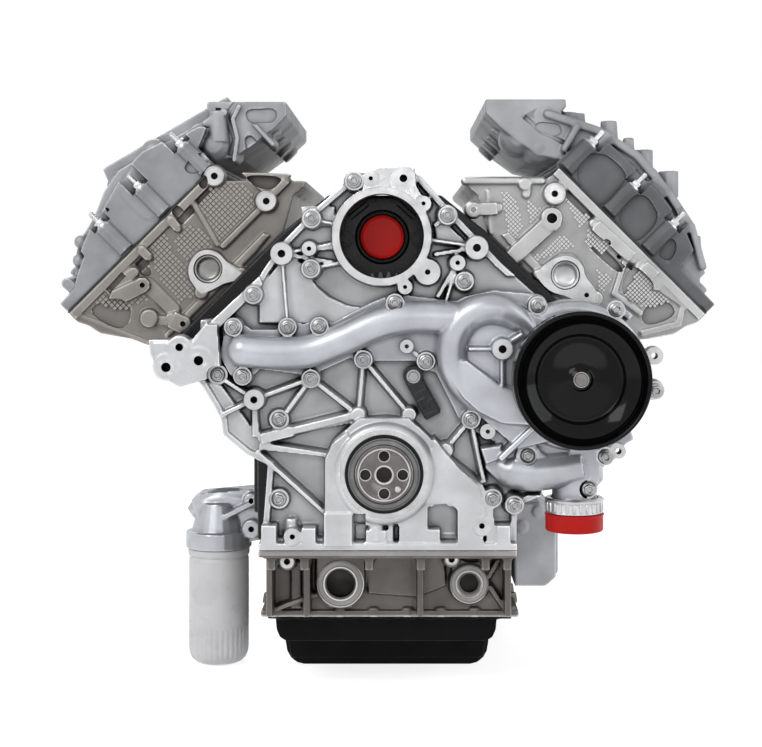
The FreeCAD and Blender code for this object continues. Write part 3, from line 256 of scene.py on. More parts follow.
def smooth_path(points: Sequence[Point3], steps: int = 8) -> list[Vector]:
    """Catmull-Rom curve through points."""
    pts = [Vector(p) for p in points]
    pts = [pts[0] * 2 - pts[1]] + pts + [pts[-1] * 2 - pts[-2]]
    out = []
    for a, b, c, d in zip(pts, pts[1:], pts[2:], pts[3:]):
        for i in range(steps):
            t = i / steps
            out.append(0.5 * ((2 * b) + (c - a) * t + (2 * a - 5 * b + 4 * c - d) * t * t
                              + (3 * b - a - 3 * c + d) * t ** 3))
    return out + [pts[-2]]


def sweep(name: str, points: Sequence[Point3], radii: Sequence[float], squash: float = 1.0,
          sides: int = 28) -> Form:
    """Round tube along a smooth path, with a radius at each given point.

    Args:
        name: Object name.
        points: Path points.
        radii: Tube radius at each point.
        squash: Depth of the section along Y over its width.
        sides: Steps round the section.

    Returns:
        The closed tube.
    """
    path = smooth_path(points)
    spots = np.linspace(0, len(points) - 1, len(path))
    sizes = np.interp(spots, range(len(points)), radii)
    verts: list[Point3] = []
    for i, centre in enumerate(path):
        ahead = path[min(i + 1, len(path) - 1)] - path[max(i - 1, 0)]
        ahead.normalize()
        across = ahead.cross(Vector((0, 1, 0))).normalized()
        depth = across.cross(ahead).normalized()
        for step in range(sides):
            a = 2 * math.pi * step / sides
            offset = across * math.cos(a) + depth * math.sin(a) * squash
            verts.append(tuple(centre + offset * float(sizes[i])))
    faces: list[Sequence[int]] = []
    for i in range(len(path) - 1):
        for step in range(sides):
            nxt = (step + 1) % sides
            faces.append((i * sides + step, i * sides + nxt, (i + 1) * sides + nxt,
                          (i + 1) * sides + step))
    faces.append(tuple(range(sides)))
    faces.append(tuple(range(len(path) * sides - 1, (len(path) - 1) * sides - 1, -1)))
    return new_object(name, verts, faces)


def node_copy(node: str, name: str = "stock") -> Form:
    """Copy of a frame node's mesh with its doubled points merged."""
    mesh = bpy.data.objects[node].data.copy()
    weld(mesh, FRAME_WELD)
    mesh.materials.clear()
    return linked(name, mesh)


def join(name: str, parts: Sequence[Form]) -> Form:
    """One object from several, which are used up."""
    bm = bmesh.new()
    for part in parts:
        part.data.transform(part.matrix_world)
        bm.from_mesh(part.data)
        bpy.data.objects.remove(part)
    mesh = bpy.data.meshes.new(name)
    bm.to_mesh(mesh)
    bm.free()
    return linked(name, mesh)


def modify(obj: Form, kind: str, **settings: object) -> bpy.types.Modifier:
    """Give an object a modifier with its properties set."""
    return configure(obj.modifiers.new(kind.lower(), kind), **settings)


def bake(obj: Form) -> Form:
    """Apply an object's modifiers to its mesh."""
    graph = bpy.context.evaluated_depsgraph_get()
    mesh = bpy.data.meshes.new_from_object(obj.evaluated_get(graph))
    obj.modifiers.clear()
    old = obj.data
    obj.data = mesh
    bpy.data.meshes.remove(old)
    return obj


def bank_point(u: float, v: float, side: Side) -> Point:
    """Front-view (x, z) of a point u outboard of a bank's axis and v up along it."""
    return side.value * (u + v) * HALF_ROOT, (v - u) * HALF_ROOT


def bank_outline(points: Iterable[Point], side: Side) -> list[Point]:
    """Front-view outline from a bank's (u, v) points."""
    return [bank_point(u, v, side) for u, v in points]


def bank_stud(u: float, y: float, low: float, high: float, radii: Point, side: Side,
              segments: int = 32) -> Form:
    """Round form along a bank's axis, with a radius at each end."""
    obj = lathe("stud", [(0.0, low), (radii[0], low), (radii[1], high), (0.0, high)], (0, 0, 0),
                Axis.UPWARD, segments)
    turn = Matrix.Rotation(math.radians(45 * side.value), 4, "Y")
    shift = Matrix.Translation((u * HALF_ROOT * side.value * MM, y * MM, -u * HALF_ROOT * MM))
    obj.data.transform(shift @ turn)
    return obj


# ------------------------------------------------------------------ finishes
class Shade:
    """Shorthand for wiring one node tree."""

    def __init__(self, tree: NodeTree) -> None:
        """Keep the tree."""
        self.tree = tree

    def add(self, kind: str, inputs: Inputs | None = None, **settings: object) -> Node:
        """New node with its properties set and its inputs fed."""
        return self.feed(configure(self.tree.nodes.new(kind), **settings), inputs or {})

    def feed(self, node: Node, inputs: Inputs) -> Node:
        """Wire sockets into a node's inputs, or set the inputs to plain values."""
        for key, value in inputs.items():
            if isinstance(value, Socket):
                self.wire(value, node.inputs[key])
            else:
                node.inputs[key].default_value = value
        return node

    def wire(self, start: Socket, end: Socket) -> None:
        """Join two sockets."""
        self.tree.links.new(start, end)

    def math(self, operation: str, first: object, second: object = 0.0) -> Socket:
        """Math on sockets or numbers."""
        return self.add("ShaderNodeMath", {0: first, 1: second}, operation=operation).outputs[0]

    def mix(self, amount: object, first: object, second: object) -> Socket:
        """Colour mix of sockets or colours."""
        return self.add("ShaderNodeMix", {0: amount, 6: first, 7: second}, data_type="RGBA").outputs[2]

    def ramp(self, value: Socket, low: float, high: float, to: Point = (0.0, 1.0)) -> Socket:
        """Clamped map of a value from one range to another."""
        return self.add("ShaderNodeMapRange", {0: value, 1: low, 2: high, 3: to[0], 4: to[1]}).outputs[0]

    def noise(self, vector: Socket, scale: object, detail: float = 2.0, roughness: float = 0.5) -> Socket:
        """Noise of a scale on a vector."""
        inputs = {"Vector": vector, "Scale": scale, "Detail": detail, "Roughness": roughness}
        return self.add("ShaderNodeTexNoise", inputs).outputs["Fac"]

    def bump(self, height: Socket, strength: float, distance: float) -> Socket:
        """Normal bent by a height."""
        inputs = {"Height": height, "Strength": strength, "Distance": distance}
        return self.add("ShaderNodeBump", inputs).outputs["Normal"]


def shader_group(name: str, inputs: Sequence[tuple[str, str, float]],
                 outputs: Sequence[str]) -> tuple[NodeTree, Shade, dict[str, Socket], dict[str, Socket]]:
    """Start a shader node group.

    Args:
        name: Group name.
        inputs: Name, socket type and default of each input.
        outputs: Name of each output.

    Returns:
        The tree, its wiring helper, and its input and output sockets by name.
    """
    tree = bpy.data.node_groups.new(name, "ShaderNodeTree")
    for label, kind, default in inputs:
        socket = tree.interface.new_socket(label, in_out="INPUT", socket_type=kind)
        if not kind.endswith("Vector"):
            socket.default_value = default
    for label in outputs:
        tree.interface.new_socket(label, in_out="OUTPUT", socket_type="NodeSocketFloat")
    shade = Shade(tree)
    entry, leave = shade.add("NodeGroupInput").outputs, shade.add("NodeGroupOutput").inputs
    return tree, shade, {s.name: s for s in entry if s.name}, {s.name: s for s in leave if s.name}


def foundry_skin() -> NodeTree:
    """Sand-cast skin: fine grain, pores and broad tone changes over the surface."""
    tree, shade, ins, outs = shader_group(
        "foundry_skin", [("Vector", "NodeSocketVector", 0.0), ("Grain", "NodeSocketFloat", 900.0)],
        ("Height", "Tone"))
    grain = shade.noise(ins["Vector"], ins["Grain"], 3.0, 0.65)
    cloud = shade.noise(ins["Vector"], 22.0, 5.0)
    pits = shade.add("ShaderNodeTexVoronoi", {"Vector": ins["Vector"],
                                              "Scale": shade.math("MULTIPLY", ins["Grain"], 0.35)})
    pores = shade.ramp(pits.outputs["Distance"], 0.05, 0.22)
    shade.wire(shade.math("ADD", grain, shade.math("MULTIPLY", pores, 0.35)), outs["Height"])
    shade.wire(shade.ramp(cloud, 0.3, 0.7), outs["Tone"])
    return tree


def handling_marks() -> NodeTree:
    """Masks of edges, for wear and painted highlight, and of corners where shade falls, for painted shade.
    """
    tree, shade, ins, outs = shader_group("handling_marks", [("Reach", "NodeSocketFloat", 0.012)],
                                          ("Edge", "Grime"))
    geometry = shade.add("ShaderNodeNewGeometry")
    shade.wire(shade.ramp(geometry.outputs["Pointiness"], 0.515, 0.56), outs["Edge"])
    # Occlusion marks the corners where shade falls.
    shadow = shade.add("ShaderNodeAmbientOcclusion", {"Distance": ins["Reach"]}, samples=6)
    shade.wire(shade.ramp(shadow.outputs["AO"], 0.95, 0.25), outs["Grime"])
    return tree


def opaque(colour: Point3, gain: float = 1.0) -> tuple[float, ...]:
    """A colour made lighter or darker, with full opacity."""
    return tuple(min(1.0, c * gain) for c in colour) + (1,)


@dataclass(frozen=True)
class Finish:
    """Named surface of one colour."""

    name: str
    colour: Point3

    def make(self, groups: dict[str, NodeTree]) -> Material:
        """Build the material.

        Args:
            groups: Shared node groups by name.

        Returns:
            The node material.
        """
        material = bpy.data.materials.new(self.name)
        material.use_nodes = True
        shade = Shade(material.node_tree)
        place = shade.add("ShaderNodeTexCoord").outputs["Object"]
        shade.feed(material.node_tree.nodes["Principled BSDF"], self.inputs(shade, place, groups))
        return material

    def inputs(self, shade: Shade, place: Socket, groups: dict[str, NodeTree]) -> Inputs:
        """What the surface shader is fed."""
        raise NotImplementedError


@dataclass(frozen=True)
class CastFinish(Finish):
    """Cast metal surface with grain, painted shade in corners and edges lightened as wear and painted
    highlight.
    """

    # Colour painted into the corners as shade.
    dark: Point3
    roughness: float = 0.5
    metallic: float = 0.8
    grain: float = 900.0
    bump: float = 0.25
    depth: float = 0.0006
    dull: float = 0.72
    # Gain on the edges' colour: painted highlight and wear.
    edge_lift: float = 1.25
    edge_polish: float = 0.12
    reach: float = 0.009
    relief: Point = (0.0, 0.0)
    # Colour gain at the far end of the relief: painted shade below one, painted light above one.
    relief_shade: float = 0.6

    def inputs(self, shade: Shade, place: Socket, groups: dict[str, NodeTree]) -> Inputs:
        """Mottled casting skin, with painted shade or light by depth from the front where it has relief.
        """
        skin = shade.add("ShaderNodeGroup", node_tree=groups["foundry_skin"])
        shade.feed(skin, {"Vector": place, "Grain": self.grain})
        marks = shade.add("ShaderNodeGroup", node_tree=groups["handling_marks"])
        shade.feed(marks, {"Reach": self.reach})
        spread = skin.outputs["Tone"]
        tone = shade.mix(spread, opaque(self.colour, self.dull), opaque(self.colour))
        if self.relief[0] != self.relief[1]:
            back = shade.add("ShaderNodeSeparateXYZ", {0: place}).outputs["Y"]
            dim = shade.ramp(back, self.relief[0] * MM, self.relief[1] * MM, (1.0, self.relief_shade))
            tone = shade.add("ShaderNodeVectorMath", {0: tone, "Scale": dim},
                             operation="SCALE").outputs[0]
        edge = marks.outputs["Edge"]
        # Edges are painted lighter, as wear and as highlight.
        tone = shade.mix(edge, tone, opaque(self.colour, self.edge_lift))
        rough = shade.ramp(spread, 0.0, 1.0, (self.roughness * 1.1, self.roughness * 0.9))
        # Corners are painted towards the dark colour as shade.
        return {"Base Color": shade.mix(marks.outputs["Grime"], tone, opaque(self.dark)),
                "Roughness": shade.math("ADD", rough, shade.math("MULTIPLY", edge, -self.edge_polish)),
                "Metallic": self.metallic,
                "Normal": shade.bump(skin.outputs["Height"], self.bump, self.depth)}


@dataclass(frozen=True)
class MachinedFinish(Finish):
    """Turned or milled metal with fine tool lines."""

    roughness: float = 0.26
    metallic: float = 1.0
    lines: float = 2600.0
    bump: float = 0.08
    depth: float = 0.0002
    dull: float = 0.8
    cloud: float = 60.0
    stretch: Point3 = (1.0, 1.0, 0.06)

    def inputs(self, shade: Shade, place: Socket, groups: dict[str, NodeTree]) -> Inputs:
        """Tool lines over a slightly clouded metal."""
        along = shade.add("ShaderNodeMapping", {"Vector": place, "Scale": self.stretch}).outputs["Vector"]
        lines = shade.noise(along, self.lines)
        cloud = shade.noise(place, self.cloud)
        tone = shade.mix(shade.ramp(cloud, 0.35, 0.65), opaque(self.colour, self.dull),
                         opaque(self.colour))
        return {"Base Color": tone,
                "Roughness": shade.ramp(cloud, 0.3, 0.7, (self.roughness * 1.3, self.roughness * 0.85)),
                "Metallic": self.metallic, "Normal": shade.bump(lines, self.bump, self.depth)}


@dataclass(frozen=True)
class CoatFinish(Finish):
    """Paint, plastic or rubber: a coloured skin with slight unevenness and dust in corners."""

    roughness: float = 0.3
    orange_peel: float = 0.05
    peel_scale: float = 260.0
    depth: float = 0.0004
    dull: float = 0.9
    cloud: float = 35.0
    reach: float = 0.01
    dust: Point3 = (0.25, 0.25, 0.25)
    dust_amount: float = 0.15
    shine: float = 0.5

    def inputs(self, shade: Shade, place: Socket, groups: dict[str, NodeTree]) -> Inputs:
        """Coat over a slightly clouded colour."""
        peel = shade.noise(place, self.peel_scale, 3.0)
        marks = shade.add("ShaderNodeGroup", node_tree=groups["handling_marks"])
        shade.feed(marks, {"Reach": self.reach})
        dusty = shade.math("MULTIPLY", marks.outputs["Grime"], self.dust_amount)
        cloud = shade.noise(place, self.cloud)
        tone = shade.mix(shade.ramp(cloud, 0.3, 0.7), opaque(self.colour, self.dull), opaque(self.colour))
        return {"Base Color": shade.mix(dusty, tone, opaque(self.dust)),
                "Roughness": shade.ramp(cloud, 0.3, 0.7, (self.roughness * 0.85, self.roughness * 1.2)),
                "Specular IOR Level": self.shine,
                "Normal": shade.bump(peel, self.orange_peel, self.depth)}


class Paintshop:
    """Holds the shared node groups and makes each finish once."""

    def __init__(self) -> None:
        """Build the shared groups."""
        self.groups = {"foundry_skin": foundry_skin(), "handling_marks": handling_marks()}
        self.made: dict[str, Material] = {}

    def get(self, finish: Finish) -> Material:
        """The material of a finish."""
        if finish.name not in self.made:
            self.made[finish.name] = finish.make(self.groups)
        return self.made[finish.name]


# The third colour of each cast finish is painted into corners as shade; relief paints shade or light by
# depth from the front.
COVER_CAST = CastFinish("cover_cast_alloy", (0.66, 0.665, 0.68), (0.016, 0.015, 0.014), 0.34, 0.55,
                        bump=0.35, edge_lift=1.6, relief=(21.0, 37.0), relief_shade=0.66)
HOUSING_CAST = CastFinish("housing_cast_alloy", (0.62, 0.64, 0.685), (0.04, 0.043, 0.05), 0.34, 0.5,
                          bump=0.16, edge_lift=1.4, relief=(0.0, 34.0), relief_shade=0.6)
FILTER_HEAD_CAST = replace(HOUSING_CAST, name="filter_head_alloy", relief=(0.0, 0.0), edge_lift=1.2)
HEAD_CAST = CastFinish("head_cast_alloy", (0.44, 0.425, 0.405), (0.018, 0.015, 0.013), 0.42, 0.5,
                       bump=0.3, edge_lift=1.8, relief_shade=0.55)
ROCKER_CAST = CastFinish("rocker_cast_alloy", (0.38, 0.385, 0.40), (0.016, 0.016, 0.019), 0.52, 0.35,
                         grain=1100.0, bump=0.5, edge_lift=1.8)
PAN_CAST = CastFinish("pan_cast_alloy", (0.17, 0.155, 0.142), (0.010, 0.009, 0.008), 0.44, 0.5, bump=0.3,
                      edge_lift=2.0)
PAN_LIP = replace(PAN_CAST, name="pan_lip_alloy", colour=(0.40, 0.39, 0.38))
COOLER_CAST = CastFinish("cooler_cast_alloy", (0.66, 0.67, 0.71), (0.16, 0.16, 0.18), 0.55, 0.4, bump=0.1)
MILLED = MachinedFinish("milled_alloy", (0.54, 0.54, 0.545), 0.32)
# Near black, painted into holes and ports as the shadow deep inside them.
HOLE_SHADOW = MachinedFinish("drilled_shadow", (0.035, 0.033, 0.032), 0.5, 0.8)
TURNED_STEEL = MachinedFinish("turned_steel", (0.52, 0.50, 0.49), 0.2)
ZINC_STEEL = MachinedFinish("zinc_steel", (0.62, 0.62, 0.63), 0.3)
BOLT_STEEL = MachinedFinish("grey_bolt_steel", (0.36, 0.36, 0.37), 0.3)
DARK_STEEL = MachinedFinish("oiled_dark_steel", (0.075, 0.072, 0.07), 0.38, 0.9)
BLOCK_BLACK = CoatFinish("black_block_enamel", (0.003, 0.003, 0.0035), 0.26, 0.6, 420.0, shine=0.24,
                         dust_amount=0.02)
PULLEY_BLACK = CoatFinish("gloss_black_enamel", (0.0015, 0.0015, 0.0015), 0.09, 0.01, 120.0,
                          dust_amount=0.0, shine=0.16)
PAN_BLACK = CoatFinish("satin_black_enamel", (0.003, 0.003, 0.004), 0.5, 0.08, shine=0.1, dust_amount=0.0)
SENSOR_BLACK = CoatFinish("sensor_plastic", (0.012, 0.013, 0.015), 0.42, 0.15, 700.0, shine=0.35,
                          dust_amount=0.05)
SEAL_BLACK = CoatFinish("seal_rubber", (0.006, 0.006, 0.006), 0.55, 0.1, 500.0, shine=0.2,
                        dust_amount=0.05)
RED_PLUG = CoatFinish("red_moulding", (0.72, 0.012, 0.008), 0.4, 0.04, shine=0.25, dust_amount=0.0)
FILTER_WHITE = CoatFinish("white_can_enamel", (0.98, 0.98, 1.0), 0.28, 0.02, dust_amount=0.03)
GASKET_GREY = CoatFinish("gasket_coating", (0.05, 0.05, 0.055), 0.6)
NOSE_STEEL = MachinedFinish("turned_nose_steel", (0.15, 0.14, 0.135), 0.18)
PLUG_STEEL = MachinedFinish("dull_plug_steel", (0.24, 0.235, 0.225), 0.3)
STUB_STEEL = MachinedFinish("worn_stub_steel", (0.20, 0.19, 0.185), 0.4)
SEAL_GREY = MachinedFinish("seal_case_steel", (0.16, 0.16, 0.16), 0.34)

NODE_FINISH = {"cylinder_block": BLOCK_BLACK, "main_bearing_caps": BLOCK_BLACK,
               "main_cap_bolts": DARK_STEEL, "crankshaft": TURNED_STEEL, "nose_dowel": TURNED_STEEL,
               "crank_gear": DARK_STEEL, "camshaft": TURNED_STEEL, "cam_gear": DARK_STEEL,
               "cam_gear_bolt": DARK_STEEL, "front_cover": COVER_CAST, "front_cover_bolts": ZINC_STEEL,
               "coolant_housing": HOUSING_CAST, "coolant_housing_bolts": ZINC_STEEL,
               "water_pump_shaft": TURNED_STEEL, "water_pump_impeller": DARK_STEEL,
               "water_pump_pulley": PULLEY_BLACK, "coolant_cap": RED_PLUG, "pump_bore_plug": RED_PLUG,
               "crank_seals": SEAL_BLACK, "crank_sensor": SENSOR_BLACK, "crank_sensor_bolt": ZINC_STEEL,
               "cylinder_head_right": HEAD_CAST, "cylinder_head_left": HEAD_CAST,
               "head_gasket_right": GASKET_GREY, "head_gasket_left": GASKET_GREY,
               "rocker_cover_right": ROCKER_CAST, "rocker_cover_left": ROCKER_CAST,
               "rocker_cover_gasket_right": GASKET_GREY, "rocker_cover_gasket_left": GASKET_GREY,
               "rocker_cover_studs_right": ZINC_STEEL, "rocker_cover_studs_left": ZINC_STEEL,
               "core_plugs": MILLED, "upper_oil_pan": PAN_CAST, "lower_oil_pan": PAN_BLACK,
               "drain_plug": ZINC_STEEL, "oil_filter": FILTER_WHITE, "oil_filter_adapter": COVER_CAST,
               "oil_cooler_housing": COOLER_CAST, "rear_plate": COVER_CAST, "valley_cover": PAN_CAST,
               "oil_pump": PAN_CAST, "oil_pickup": DARK_STEEL, }


# ------------------------------------------------------------------ casting shop
@dataclass
class Foundry:
    """Turns joined stock into a filleted casting and machines it."""

    paint: Paintshop
    voxel: float = 1.4
    smoothing: int = 4
    budget: int = 170_000

    def cast(self, name: str, stock: Sequence[Form]) -> Form:
        """Melt overlapping closed stock into one filleted skin.

        Args:
            name: Name of the casting.
            stock: Overlapping closed meshes, which are used up.

        Returns:
            The casting, thinned to the triangle budget.
        """
        obj = join(name, stock)
        modify(obj, "REMESH", mode="VOXEL", voxel_size=self.voxel * MM, use_smooth_shade=True)
        modify(obj, "SMOOTH", factor=0.5, iterations=self.smoothing)
        bake(obj)
        triangles = 2 * len(obj.data.polygons)
        if triangles > self.budget:
            modify(obj, "DECIMATE", ratio=self.budget / triangles)
            bake(obj)
        return obj

    def machine(self, obj: Form, skin: Material,
                cuts: Sequence[tuple[Sequence[Form], Material]]) -> Form:
        """Cut a casting and give its skin and its cut faces their own materials.

        Args:
            obj: The casting.
            skin: Material of the cast surface.
            cuts: Closed meshes to take out, which are used up, each group with the material it leaves.

        Returns:
            The machined casting.
        """
        obj.data.materials.clear()
        obj.data.materials.append(skin)
        for tools, cut in cuts:
            for tool in tools:
                tool.data.materials.clear()
            for batch in separate_batches(tools):
                knife = join("knife", batch)
                knife.data.materials.append(cut)
                modify(obj, "BOOLEAN", operation="DIFFERENCE", solver="MANIFOLD",
                       material_mode="TRANSFER", object=knife)
                bake(obj)
                bpy.data.objects.remove(knife)
        return shade_smooth(obj)


def separate_batches(tools: Sequence[Form]) -> list[list[Form]]:
    """Sort cutters into groups whose members' boxes don't meet."""
    batches: list[list[tuple[Form, np.ndarray, np.ndarray]]] = []
    for tool in tools:
        spots = np.empty(len(tool.data.vertices) * 3)
        tool.data.vertices.foreach_get("co", spots)
        spots = spots.reshape(-1, 3)
        low, high = spots.min(axis=0), spots.max(axis=0)
        for batch in batches:
            if all((low > h).any() or (high < l).any() for _, l, h in batch):
                batch.append((tool, low, high))
                break
        else:
            batches.append([(tool, low, high)])
    return [[tool for tool, _, _ in batch] for batch in batches]


def shade_smooth(obj: Form, angle: float = SHARP) -> Form:
    """Smooth an object's faces, with edges above an angle kept sharp."""
    obj.data.polygons.foreach_set("use_smooth", [True] * len(obj.data.polygons))
    obj.data.set_sharp_from_angle(angle=math.radians(angle))
    return obj


def dress(obj: Form, material: Material, angle: float = SHARP) -> None:
    """Give an object one material, smooth faces and sharp edges above an angle."""
    obj.data.materials.clear()
    obj.data.materials.append(material)
    shade_smooth(obj, angle)


def soften(obj: Form, width: float, segments: int = 2) -> Form:
    """Round an object's sharp edges by a width in millimetres."""
    modify(obj, "BEVEL", width=width * MM, segments=segments, limit_method="ANGLE",
           angle_limit=math.radians(32))
    return bake(obj)


# ------------------------------------------------------------------ studio
@dataclass(frozen=True)
class Lamp:
    """Soft rectangular lamp, in metres and watts."""

    name: str
    place: Point3
    size: Point
    power: float
    colour: Point3

    def hang(self, target: Point3) -> None:
        """Hang the lamp so that it shines on a target."""
        data = configure(bpy.data.lights.new(self.name, "AREA"), shape="RECTANGLE", size=self.size[0],
                         size_y=self.size[1], energy=self.power, color=self.colour)
        aim = Vector(target) - Vector(self.place)
        configure(linked(self.name, data), location=self.place,
                  rotation_euler=aim.to_track_quat("-Z", "Y").to_euler())


@dataclass
class Studio:
    """Floor, lights and camera."""

    camera_distance: float = 1900.0
    camera_x: float = 19.0
    camera_z: float = 249.4
    lens: float = 75.6
    shift: Point = (-0.025, -0.1424)
    ambient: float = 0.17
    target: Point3 = (0.0, 0.3, 0.05)
    floor_reach: float = 6000.0
    floor_grey: float = 0.86
    floor_glow: float = 0.8
    lamps: tuple[Lamp, ...] = (Lamp("key", (-1.5, -1.9, 1.9), (1.5, 1.5), 34.0, (1.0, 1.0, 1.0)),
                               Lamp("front", (0.5, -2.6, 0.9), (1.8, 1.2), 8.0, (0.97, 0.98, 1.0)),
                               Lamp("right", (2.2, -0.7, 0.9), (1.0, 1.6), 10.0, (0.95, 0.97, 1.0)),
                               Lamp("rear", (-0.6, 2.4, 1.8), (2.0, 1.2), 26.0, (1.0, 1.0, 1.0)))

    def build(self) -> None:
        """Set up the scene round the object."""
        scene = bpy.context.scene
        scene.view_settings.view_transform = "Standard"
        self.camera(scene)
        self.world(scene)
        self.floor()
        for lamp in self.lamps:
            lamp.hang(self.target)

    def camera(self, scene: bpy.types.Scene) -> None:
        """Camera in front of the engine, level, with its axis above the crankshaft."""
        data = configure(bpy.data.cameras.new("view"), lens=self.lens, sensor_width=36.0,
                         shift_x=self.shift[0], shift_y=self.shift[1])
        place = (self.camera_x * MM, -self.camera_distance * MM, self.camera_z * MM)
        scene.camera = configure(linked("view", data), location=place,
                                 rotation_euler=(math.pi / 2, 0.0, 0.0))

    def world(self, scene: bpy.types.Scene) -> None:
        """White to the camera, to reflections and through glass; dimmer as light."""
        world = bpy.data.worlds.new("room")
        scene.world = world
        world.use_nodes = True
        shade = Shade(world.node_tree)
        path = shade.add("ShaderNodeLightPath").outputs
        clear = shade.math("MAXIMUM", path["Is Glossy Ray"], path["Is Transmission Ray"])
        seen = shade.math("MAXIMUM", path["Is Camera Ray"], clear)
        strength = shade.math("ADD", shade.math("MULTIPLY", seen, 1 - self.ambient), self.ambient)
        back = world.node_tree.nodes["Background"]
        shade.feed(back, {"Color": opaque((1.0, 1.0, 1.0)), "Strength": strength})

    def floor(self) -> None:
        """Pale floor at the lowest point of the engine."""
        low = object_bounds()[0][2] / MM
        reach = self.floor_reach
        obj = new_object("floor", [(-reach, -reach, low), (reach, -reach, low), (reach, reach, low),
                                   (-reach, reach, low)], [(0, 1, 2, 3)])
        material = bpy.data.materials.new("floor_pale")
        material.use_nodes = True
        shade, nodes = Shade(material.node_tree), material.node_tree.nodes
        bsdf = nodes["Principled BSDF"]
        shade.feed(bsdf, {"Base Color": opaque((self.floor_grey,) * 3), "Roughness": 0.85})
        path = shade.add("ShaderNodeLightPath").outputs
        seen = shade.math("MAXIMUM", path["Is Camera Ray"], path["Is Glossy Ray"])
        glow = shade.add("ShaderNodeEmission",
                         {"Strength": shade.math("MULTIPLY", seen, self.floor_glow)})
        both = shade.add("ShaderNodeAddShader", {0: bsdf.outputs[0], 1: glow.outputs[0]})
        shade.feed(nodes["Material Output"], {"Surface": both.outputs[0]})
        obj.data.materials.append(material)
        obj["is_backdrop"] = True


# ------------------------------------------------------------------ what repeats
@dataclass(frozen=True)
class Spot:
    """Place, turn and stretch of one repeated form."""

    place: Point3
    turn: Point3 = (0.0, 0.0, 0.0)
    stretch: Point3 = (1.0, 1.0, 1.0)


def setting_out_tree() -> NodeTree:
    """Geometry Nodes tree that sets a master form on points, each turned and stretched as it says."""
    tree = bpy.data.node_groups.new("setting_out", "GeometryNodeTree")
    for label, kind in (("Points", "NodeSocketGeometry"), ("Master", "NodeSocketObject"),
                        ("Size", "NodeSocketFloat"), ("Finish", "NodeSocketMaterial")):
        tree.interface.new_socket(label, in_out="INPUT", socket_type=kind)
    tree.interface.new_socket("Result", in_out="OUTPUT", socket_type="NodeSocketGeometry")
    shade = Shade(tree)
    entry = shade.add("NodeGroupInput").outputs
    turn, stretch = (shade.add("GeometryNodeInputNamedAttribute", {"Name": label},
                               data_type="FLOAT_VECTOR").outputs["Attribute"]
                     for label in ("turn", "stretch"))
    plant = shade.add("GeometryNodeInstanceOnPoints", {
        "Points": entry["Points"],
        "Instance": shade.add("GeometryNodeObjectInfo", {"Object": entry["Master"]}).outputs["Geometry"],
        "Rotation": shade.add("FunctionNodeEulerToRotation", {0: turn}).outputs[0],
        "Scale": shade.add("ShaderNodeVectorMath", {0: stretch, "Scale": entry["Size"]},
                           operation="SCALE").outputs[0]})
    real = shade.add("GeometryNodeRealizeInstances", {"Geometry": plant.outputs["Instances"]})
    inputs = {"Geometry": real.outputs["Geometry"], "Material": entry["Finish"]}
    paint = shade.add("GeometryNodeSetMaterial", inputs)
    shade.add("NodeGroupOutput", {"Result": paint.outputs["Geometry"]})
    return tree


class SettingOut:
    """Plants copies of a master form through one Geometry Nodes tree."""

    def __init__(self) -> None:
        """Build the tree once."""
        self.tree = setting_out_tree()
        self.sockets = {item.name: item.identifier for item in self.tree.interface.items_tree
                        if item.in_out == "INPUT"}

    def plant(self, name: str, master: Form, spots: Sequence[Spot], finish: Material,
              size: float = 1.0, angle: float = 30.0) -> Form:
        """Plant a master on each spot.

        Args:
            name: Name of the resulting piece.
            master: Form at the origin, facing forward, which is used up.
            spots: Where the copies go.
            finish: Their material.
            size: Common scale.
            angle: Edges sharper than this stay sharp.

        Returns:
            One plain mesh object.
        """
        mesh = bpy.data.meshes.new(name)
        mesh.from_pydata([tuple(c * MM for c in spot.place) for spot in spots], [], [])
        for label, values in (("turn", [s.turn for s in spots]), ("stretch", [s.stretch for s in spots])):
            layer = mesh.attributes.new(label, "FLOAT_VECTOR", "POINT")
            layer.data.foreach_set("vector", [c for value in values for c in value])
        obj = linked(name, mesh)
        nodes = modify(obj, "NODES", node_group=self.tree)
        nodes[self.sockets["Master"]] = master
        nodes[self.sockets["Size"]] = size
        nodes[self.sockets["Finish"]] = finish
        bake(obj)
        bpy.data.objects.remove(master)
        return shade_smooth(obj, angle)


def flange_bolt() -> Form:
    """Flanged hexagon bolt head seen from its top, seated at distance zero."""
    skirt = lathe("skirt", [(0, 0), (9.2, 0), (9.2, -1.6), (8.4, -2.6), (6.4, -3.6), (0, -3.6)],
                  (0, 0, 0), Axis.REARWARD, 24)
    head = soften(lathe("hex", [(0, -3), (6.6, -3), (6.6, -9.2), (5.4, -10), (4.1, -10), (3.7, -7.4),
                                (0, -7.4)], (0, 0, 0), Axis.REARWARD, 6), 0.4, 1)
    return join("flange_bolt", [skirt, head])


def waffle_pad() -> Form:
    """Small raised square with sloping sides."""
    low, high, rise = 0.45, 0.40, -0.7
    verts = [(-low, 0.3, -low), (low, 0.3, -low), (low, 0.3, low), (-low, 0.3, low),
             (-high, rise, -high), (high, rise, -high), (high, rise, high), (-high, rise, high)]
    faces = [(0, 1, 2, 3), (4, 5, 6, 7), (0, 1, 5, 4), (1, 2, 6, 5), (2, 3, 7, 6), (3, 0, 4, 7)]
    return new_object("waffle_pad", verts, faces)


def inside(point: Point, outline: Sequence[Point]) -> bool:
    """Whether a point lies in an outline."""
    hit = False
    for (ax, ay), (bx, by) in zip(outline, list(outline[1:]) + [outline[0]]):
        if (ay > point[1]) != (by > point[1]):
            if point[0] < (bx - ax) * (point[1] - ay) / (by - ay) + ax:
                hit = not hit
    return hit


